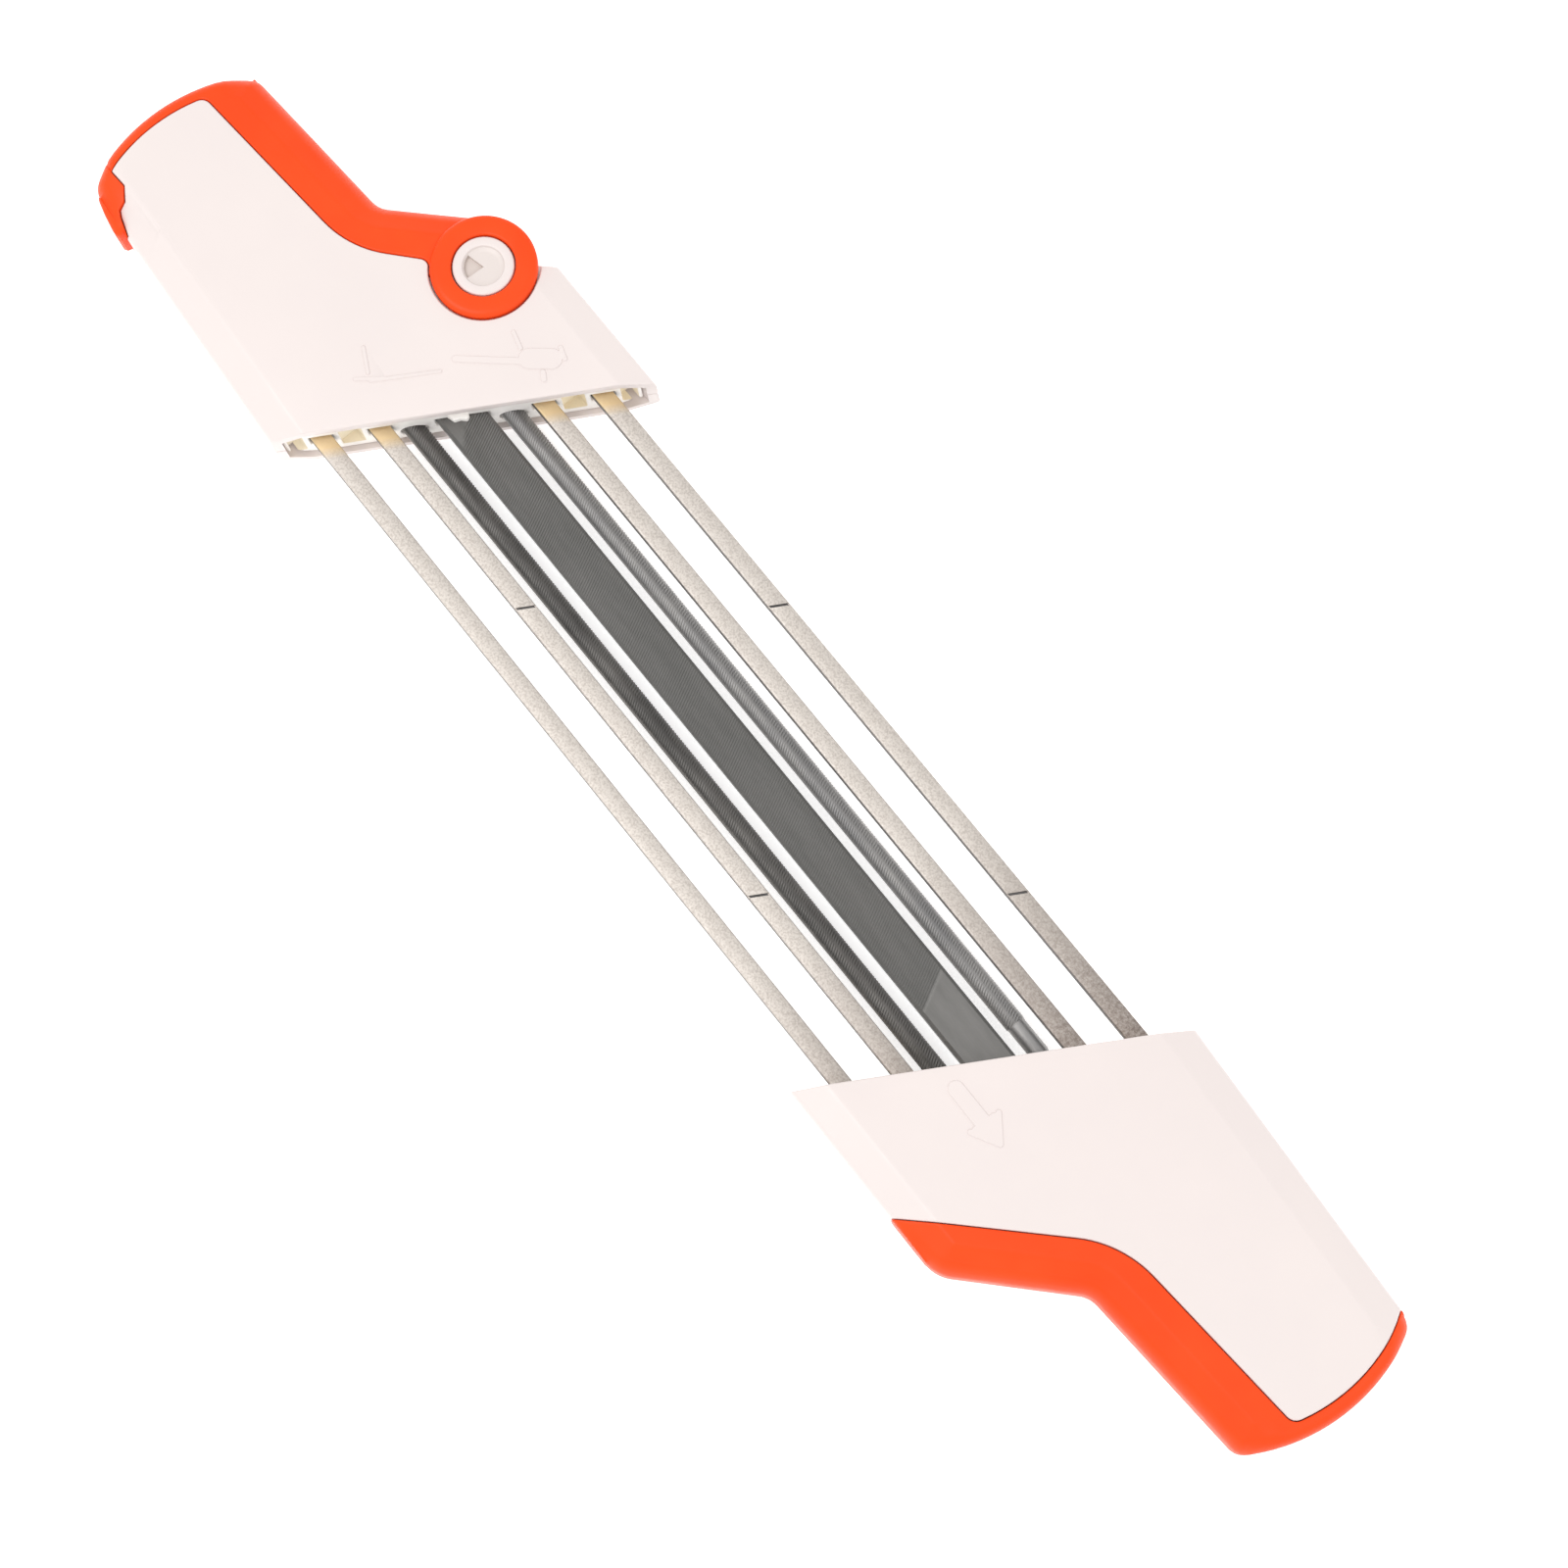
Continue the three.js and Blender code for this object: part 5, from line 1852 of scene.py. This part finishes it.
@dataclass
class GuideBar:
    """A flat steel guide bar with softened edges, pin holes and engraved angle marks."""

    row: str
    marks: tuple[float, ...] = ()
    edge: float = 0.35
    mark_width: float = 0.6
    mark_depth: float = 0.35
    pin_hole: float = 1.3
    pin_inset: float = 5.0
    groove_draft: float = 0.16
    split_step: float = 4.0

    def build(self, finishes: Finishes) -> None:
        """Makes the bar.

        Args:
            finishes: the tool's finishes.
        """
        node = f"guide_bar_{self.row}"
        low, high = box_mm(node)
        plan = rectangle(low[:2], high[:2])
        middle = (low[1] + high[1]) / 2
        holes = [
            circle(np.array([x, middle]), self.pin_hole, 20)
            for x in (low[0] + self.pin_inset, high[0] - self.pin_inset)
        ]
        half = high[1] - low[1]
        grooves, foots = [], []
        for x in self.marks:
            for width, found in ((self.mark_width, grooves), (self.mark_width - self.groove_draft, foots)):
                lean = half * SIZES.slant
                found.append(
                    np.array(
                        [
                            [x - lean - width / 2, middle - half],
                            [x - lean + width / 2, middle - half],
                            [x + lean + width / 2, middle + half],
                            [x + lean - width / 2, middle + half],
                        ]
                    )
                )

        def zone(points: Points) -> np.ndarray:
            """Steel or outside."""
            inside = contains(points, plan)
            for hole in holes:
                inside &= ~contains(points, hole)
            return np.where(inside, 0, -1)

        def skin(points: Points) -> np.ndarray:
            """The upper side with its marks."""
            height = high[2] - edge_drop(distance(points, plan), self.edge, self.edge)
            for foot in foots:
                inside = contains(points, grown(foot, 0.005))
                height = np.where(inside, np.minimum(height, high[2] - self.mark_depth), height)
            return height

        def underside(points: Points) -> np.ndarray:
            """The lower side."""
            return low[2] + edge_drop(distance(points, plan), self.edge, self.edge)

        soft = [shrunk(plan, inset) for inset in (0.03, 0.1, 0.2, self.edge)]
        steps = np.arange(low[0] + self.split_step, high[0], self.split_step)
        paths = [np.array([[x, low[1] - 1], [x, high[1] + 1]]) for x in steps]
        shape = Slab(zone, skin, (underside,), [plan, *soft, *holes, *grooves, *foots], paths).shape()
        shape.tags = [self.face_tag(shape.vertices[list(face)], low, high) for face in shape.faces]
        # Sides take the painted shade finish; the marks' floors share it.
        finish = [finishes.bar, finishes.painted_side_shade_and_marks]
        add_piece(f"guide_strip_{self.row}", shape, finish, Slot.BAR, [node])

    def face_tag(self, corners: Points, low: Points, high: Points) -> int:
        """Finish number of a face: the sides, painted near-black as shade, and the marks' floors are dark."""
        middle = corners.mean(axis=0)
        side = min(middle[1] - low[1], high[1] - middle[1]) < 0.02
        in_mark = middle[2] < high[2] - 0.1 and middle[2] > high[2] - self.mark_depth - 0.05
        return int(side or (in_mark and min(middle[1] - low[1], high[1] - middle[1]) > self.edge))


class FileTone(Enum):
    """How the round files' steel looks: one steel, the dark file painted darker as shade."""

    PAINTED_SHADE = "dark"
    PALE = "pale"


@dataclass
class RoundFile:
    """A round saw-chain file: helical rows of teeth, a plain neck and a tapered tang."""

    side: str
    tone: FileTone
    teeth_end: float
    pitch: float = 0.66
    starts: int = 13
    sides: int = 26
    tooth: float = 0.2
    tip: float = 0.6
    neck_step: float = 0.5
    heel_inset: float = 4.5
    heel_start: float = 0.4
    heel_slope: float = 0.2
    heel_drop: float = 0.35
    tang: float = 20.0
    tang_share: float = 0.4

    def build(self, finishes: Finishes) -> None:
        """Makes the file.

        Args:
            finishes: the tool's finishes.
        """
        node = f"round_file_{self.side}"
        low, high = box_mm(node)
        centre = (low + high) / 2
        radius = (high[2] - low[2]) / 2
        shape = self.cut_stretch(low[0] + self.tip, self.teeth_end, radius)
        heel = SIZES.exposed / 2 + self.heel_inset
        neck = [
            (self.teeth_end, radius - self.tooth / 2),
            (self.teeth_end + self.neck_step, radius - self.tooth),
            (heel - self.heel_start, radius - self.tooth),
            (heel + self.heel_slope, radius - self.heel_drop),
            (heel + self.tang, radius * self.tang_share),
        ]
        tip = [(low[0], radius - self.tip), (low[0] + self.tip, radius - self.tooth / 2)]
        shape = shape.joined(Lathe(neck, self.sides).shape(0, 0), Lathe(tip, self.sides).shape(0, 0))
        shape = shape.mapped(lambda v: v + np.array([0, centre[1], centre[2]]))
        # The darker tone is painted shade on the same steel.
        finish = finishes.shaded_round_file if self.tone is FileTone.PAINTED_SHADE else finishes.pale_file
        body = Body.LEFT_FILE if self.side == "left" else Body.RIGHT_FILE
        add_piece(f"{node}_cut", shape, [finish], Slot.FILE, [node], body, crease=22.0)

    def cut_stretch(self, start: float, end: float, radius: float) -> Shape:
        """Builds the toothed stretch.

        Args:
            start: where its teeth start.
            end: where they end.
            radius: over the teeth.

        Returns:
            A tube about the X axis, open at its ends.
        """
        row_step = self.pitch / 2
        lead = self.starts * self.pitch
        shift = 2 * self.starts
        count = math.ceil((end - start) / row_step) + 1
        rows = np.arange(-shift, count)
        columns = np.arange(self.sides + 1)
        share = columns / self.sides
        x = start + rows[:, None] * row_step + lead * share[None]
        plain = radius - self.tooth / 2
        crest = np.where(rows % 2 == 0, radius, radius - self.tooth)[:, None] + 0 * share[None]
        beyond = (x <= start + 1e-6) | (x >= end - 1e-6)
        r = np.where(beyond, plain, crest)
        x = np.clip(x, start, end)
        angle = 2 * math.pi * share[None] + 0 * x
        vertices = np.stack([x, r * np.cos(angle), r * np.sin(angle)], axis=2).reshape(-1, 3)
        width = self.sides + 1
        faces = []
        for i in range(len(rows) - 1):
            if x[i].min() >= end or x[i + 1].max() <= start:
                continue
            for j in range(self.sides):
                a, b = i * width + j, i * width + j + 1
                c, d = (i + 1) * width + j + 1, (i + 1) * width + j
                corners = [a, b, c, d]
                if max(x[i, j], x[i, j + 1]) <= start and max(x[i + 1, j], x[i + 1, j + 1]) <= start:
                    continue
                if min(x[i, j], x[i, j + 1]) >= end:
                    continue
                faces.append(tuple(reversed(corners)))
        return Shape(vertices, faces)


@dataclass
class FlatFile:
    """The flat depth-gauge file: slanted single-cut teeth on both faces, plain edges and a tang."""

    pitch: float = 0.62
    tooth: float = 0.18
    lean: float = -0.53
    teeth_end: float = 68.8
    corner: float = 0.7
    columns: int = 14
    tang: float = 14.0
    tang_width: float = 5.0
    tang_taper: float = 0.8
    tang_drop: float = 0.4
    tang_overlap: float = 1.0
    plain_drop: float = 0.05
    beyond: float = 6.0
    heel_fade: float = 0.4
    corner_fade: float = 0.5
    corner_x: float = -87.5
    corner_y: float = 1.2
    corner_bend: float = 0.16
    hidden_x: float = -90.3
    hidden_slant: float = 0.577

    def build(self, finishes: Finishes) -> None:
        """Makes the file.

        Args:
            finishes: the tool's finishes.
        """
        low, high = box_mm("flat_file")
        heel = high[0] - self.tang
        half = (high[1] - low[1]) / 2
        flat_half = half - self.corner
        across = np.linspace(-flat_half, flat_half, self.columns)
        first, last = math.floor(low[0] - self.beyond), math.ceil(heel + self.beyond)
        rows = np.arange(first, last, self.pitch / 2)
        x = rows[:, None] + self.lean * across[None]
        toothed = self.toothed(x, across[None] + 0 * x)
        odd = (np.arange(len(rows)) % 2)[:, None]
        drop = self.tooth * odd * toothed + self.plain_drop * (1 - toothed)
        x = np.clip(x, low[0], heel)
        count = len(rows)
        top = np.stack([x, across[None] + 0 * x, high[2] - drop], axis=2)
        under = np.stack([x, across[None] + 0 * x, low[2] + drop], axis=2)
        edge_z = (high[2] - self.corner, low[2] + self.corner)
        right = [np.stack([x[:, -1], np.full(count, half), np.full(count, z)], axis=1) for z in edge_z]
        left = [np.stack([x[:, 0], np.full(count, -half), np.full(count, z)], axis=1) for z in edge_z[::-1]]
        sides = [[line[:, None] for line in lines] for lines in (right, left)]
        ring = np.concatenate([top, *sides[0], under[:, ::-1], *sides[1]], axis=1)
        vertices = ring.reshape(-1, 3)
        width = ring.shape[1]
        faces: list[tuple[int, ...]] = []
        for i in range(count - 1):
            for j in range(width):
                k = (j + 1) % width
                a, b, c, d = i * width + j, i * width + k, (i + 1) * width + k, (i + 1) * width + j
                if len({tuple(np.round(vertices[n], 6)) for n in (a, b, c, d)}) < 3:
                    continue
                faces.append((a, b, c, d))
        ends = self.end_caps(ring[0], ring[-1])
        shape = Shape(vertices, faces).joined(*ends, self.tang_shape(heel, low[2], high[2]))
        shape = shape.mapped(lambda v: v + np.array([0, (low[1] + high[1]) / 2, 0]))
        add_piece("flat_file_cut", shape, [finishes.flat_file], Slot.FILE, ["flat_file"], crease=22.0)

    def toothed(self, x: Points, y: Points) -> np.ndarray:
        """Where the faces are cut with teeth, from nought to one."""
        heel_side = (self.teeth_end + self.lean * y - x) / self.heel_fade
        bend = np.clip(self.corner_y - y, 0, None) ** 2 * self.corner_bend
        corner = (x - self.corner_x - bend) / self.corner_fade
        hidden = (self.hidden_x + self.hidden_slant * y - x) / self.corner_fade
        return smooth_step(heel_side) * np.maximum(smooth_step(corner), smooth_step(hidden))

    def end_caps(self, first: Points, last: Points) -> list[Shape]:
        """Closes the file's two ends."""
        count = len(first)
        return [Shape(first, [tuple(range(count))]), Shape(last, [tuple(range(count - 1, -1, -1))])]

    def tang_shape(self, heel: float, low: float, high: float) -> Shape:
        """Builds the tang."""
        half, drop = self.tang_width / 2, self.tang_drop
        start, end, tip = heel - self.tang_overlap, heel + self.tang, half * self.tang_taper
        plan = rounded([(start, -half, 0), (end, -tip, 1), (end, tip, 1), (start, half, 0)])
        return Slab(
            zone=lambda p: np.where(contains(p, plan), 0, -1),
            top=lambda p: high - drop - edge_drop(distance(p, plan), drop, drop),
            floors=(lambda p: low + drop + edge_drop(distance(p, plan), drop, drop),),
            loops=[plan, shrunk(plan, 0.12), shrunk(plan, drop)],
        ).shape()


def dress_bar_pins(finishes: Finishes) -> None:
    """Gives the hidden bar pins, which keep their CAD shape, their steel."""
    for name, node in frame["nodes"].items():
        if name.startswith("bar_pin_"):
            node.data.materials.clear()
            node.data.materials.append(finishes.pin)
            LOG.info("%s: CAD shape kept", name)


# ---------------------------------------------------------------- studio


@dataclass
class Studio:
    """Pale floor, soft light and the camera."""

    lens: float = 73.394
    sensor: float = 36.0
    eye: Colour = (0.14104, -0.06727, 0.64993)
    right: Colour = (0.62223836, 0.78204089, -0.03509244)
    down: Colour = (0.75935713, -0.61387030, -0.21573133)
    forward: Colour = (-0.19025292, 0.10758861, -0.97582197)
    floor_size: float = 6.0
    sky_strength: float = 0.92

    def camera(self) -> None:
        """Makes the camera."""
        data = bpy.data.cameras.new("camera")
        data.lens, data.sensor_width, data.clip_start = self.lens, self.sensor, 0.01
        camera = bpy.data.objects.new("camera", data)
        bpy.context.scene.collection.objects.link(camera)
        axes = [Vector(self.right), -Vector(self.down), -Vector(self.forward)]
        turn = Matrix([[axis[row] for axis in axes] for row in range(3)]).to_4x4()
        camera.matrix_world = Matrix.Translation(Vector(self.eye)) @ turn
        bpy.context.scene.camera = camera

    def floor(self) -> None:
        """Makes the floor."""
        mesh = bpy.data.meshes.new("studio_floor")
        work = bmesh.new()
        bmesh.ops.create_grid(work, x_segments=4, y_segments=4, size=self.floor_size / 2)
        work.to_mesh(mesh)
        work.free()
        mesh.materials.append(Backdrop().material())
        floor = bpy.data.objects.new("studio_floor", mesh)
        bpy.context.scene.collection.objects.link(floor)

    def panel(self, name: str, place: Colour, size: float, power: float, tint: Colour) -> None:
        """Adds a soft light that faces the tool.

        Args:
            name: the light's name.
            place: where it stands, in metres.
            size: how wide it is, in metres.
            power: its power, in watts.
            tint: its colour.
        """
        data = bpy.data.lights.new(name, "AREA")
        data.shape, data.size, data.energy, data.color = "DISK", size, power, tint
        light = bpy.data.objects.new(name, data)
        light.location = place
        light.rotation_euler = (-Vector(place)).to_track_quat("-Z", "Y").to_euler()
        bpy.context.scene.collection.objects.link(light)

    def sky(self) -> None:
        """Adds even light from all round."""
        world = bpy.data.worlds.new("studio")
        world.use_nodes = True
        background = world.node_tree.nodes["Background"]
        background.inputs["Color"].default_value = (1.0, 0.995, 0.99, 1)
        background.inputs["Strength"].default_value = self.sky_strength
        bpy.context.scene.world = world
        bpy.context.scene.view_settings.view_transform = "Standard"

    def build(self) -> None:
        """Makes the whole studio."""
        self.floor()
        self.camera()
        self.sky()
        self.panel("key", (-0.25, -0.5, 1.22), 0.6, 5.3, (1.0, 0.99, 0.98))
        self.panel("fill", (0.9, 0.3, 1.2), 1.2, 2.5, (0.98, 0.99, 1.0))


def main() -> None:
    """Builds every sub-assembly in order."""
    logging.basicConfig(level=logging.INFO, format="%(message)s")
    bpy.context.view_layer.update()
    finishes = Finishes()
    FixedHandle().build(finishes)
    LatchHandle().build(finishes)
    CarrierBlock("tang_carrier", "tang_block", 30.6, (112.3, 112.3), turned=False).build(finishes)
    CarrierBlock("guide_carrier", "guide_block", 20.0, None, turned=True).build(finishes)
    GuideBar("outer_left").build(finishes)
    GuideBar("inner_left", (-46.9, 31.3)).build(finishes)
    GuideBar("inner_right").build(finishes)
    GuideBar("outer_right", (-14.0, 64.0)).build(finishes)
    RoundFile("left", FileTone.PAINTED_SHADE, 84.0).build(finishes)
    RoundFile("right", FileTone.PALE, 84.0).build(finishes)
    FlatFile().build(finishes)
    dress_bar_pins(finishes)
    Studio().build()


if __name__ == "__main__":
    main()
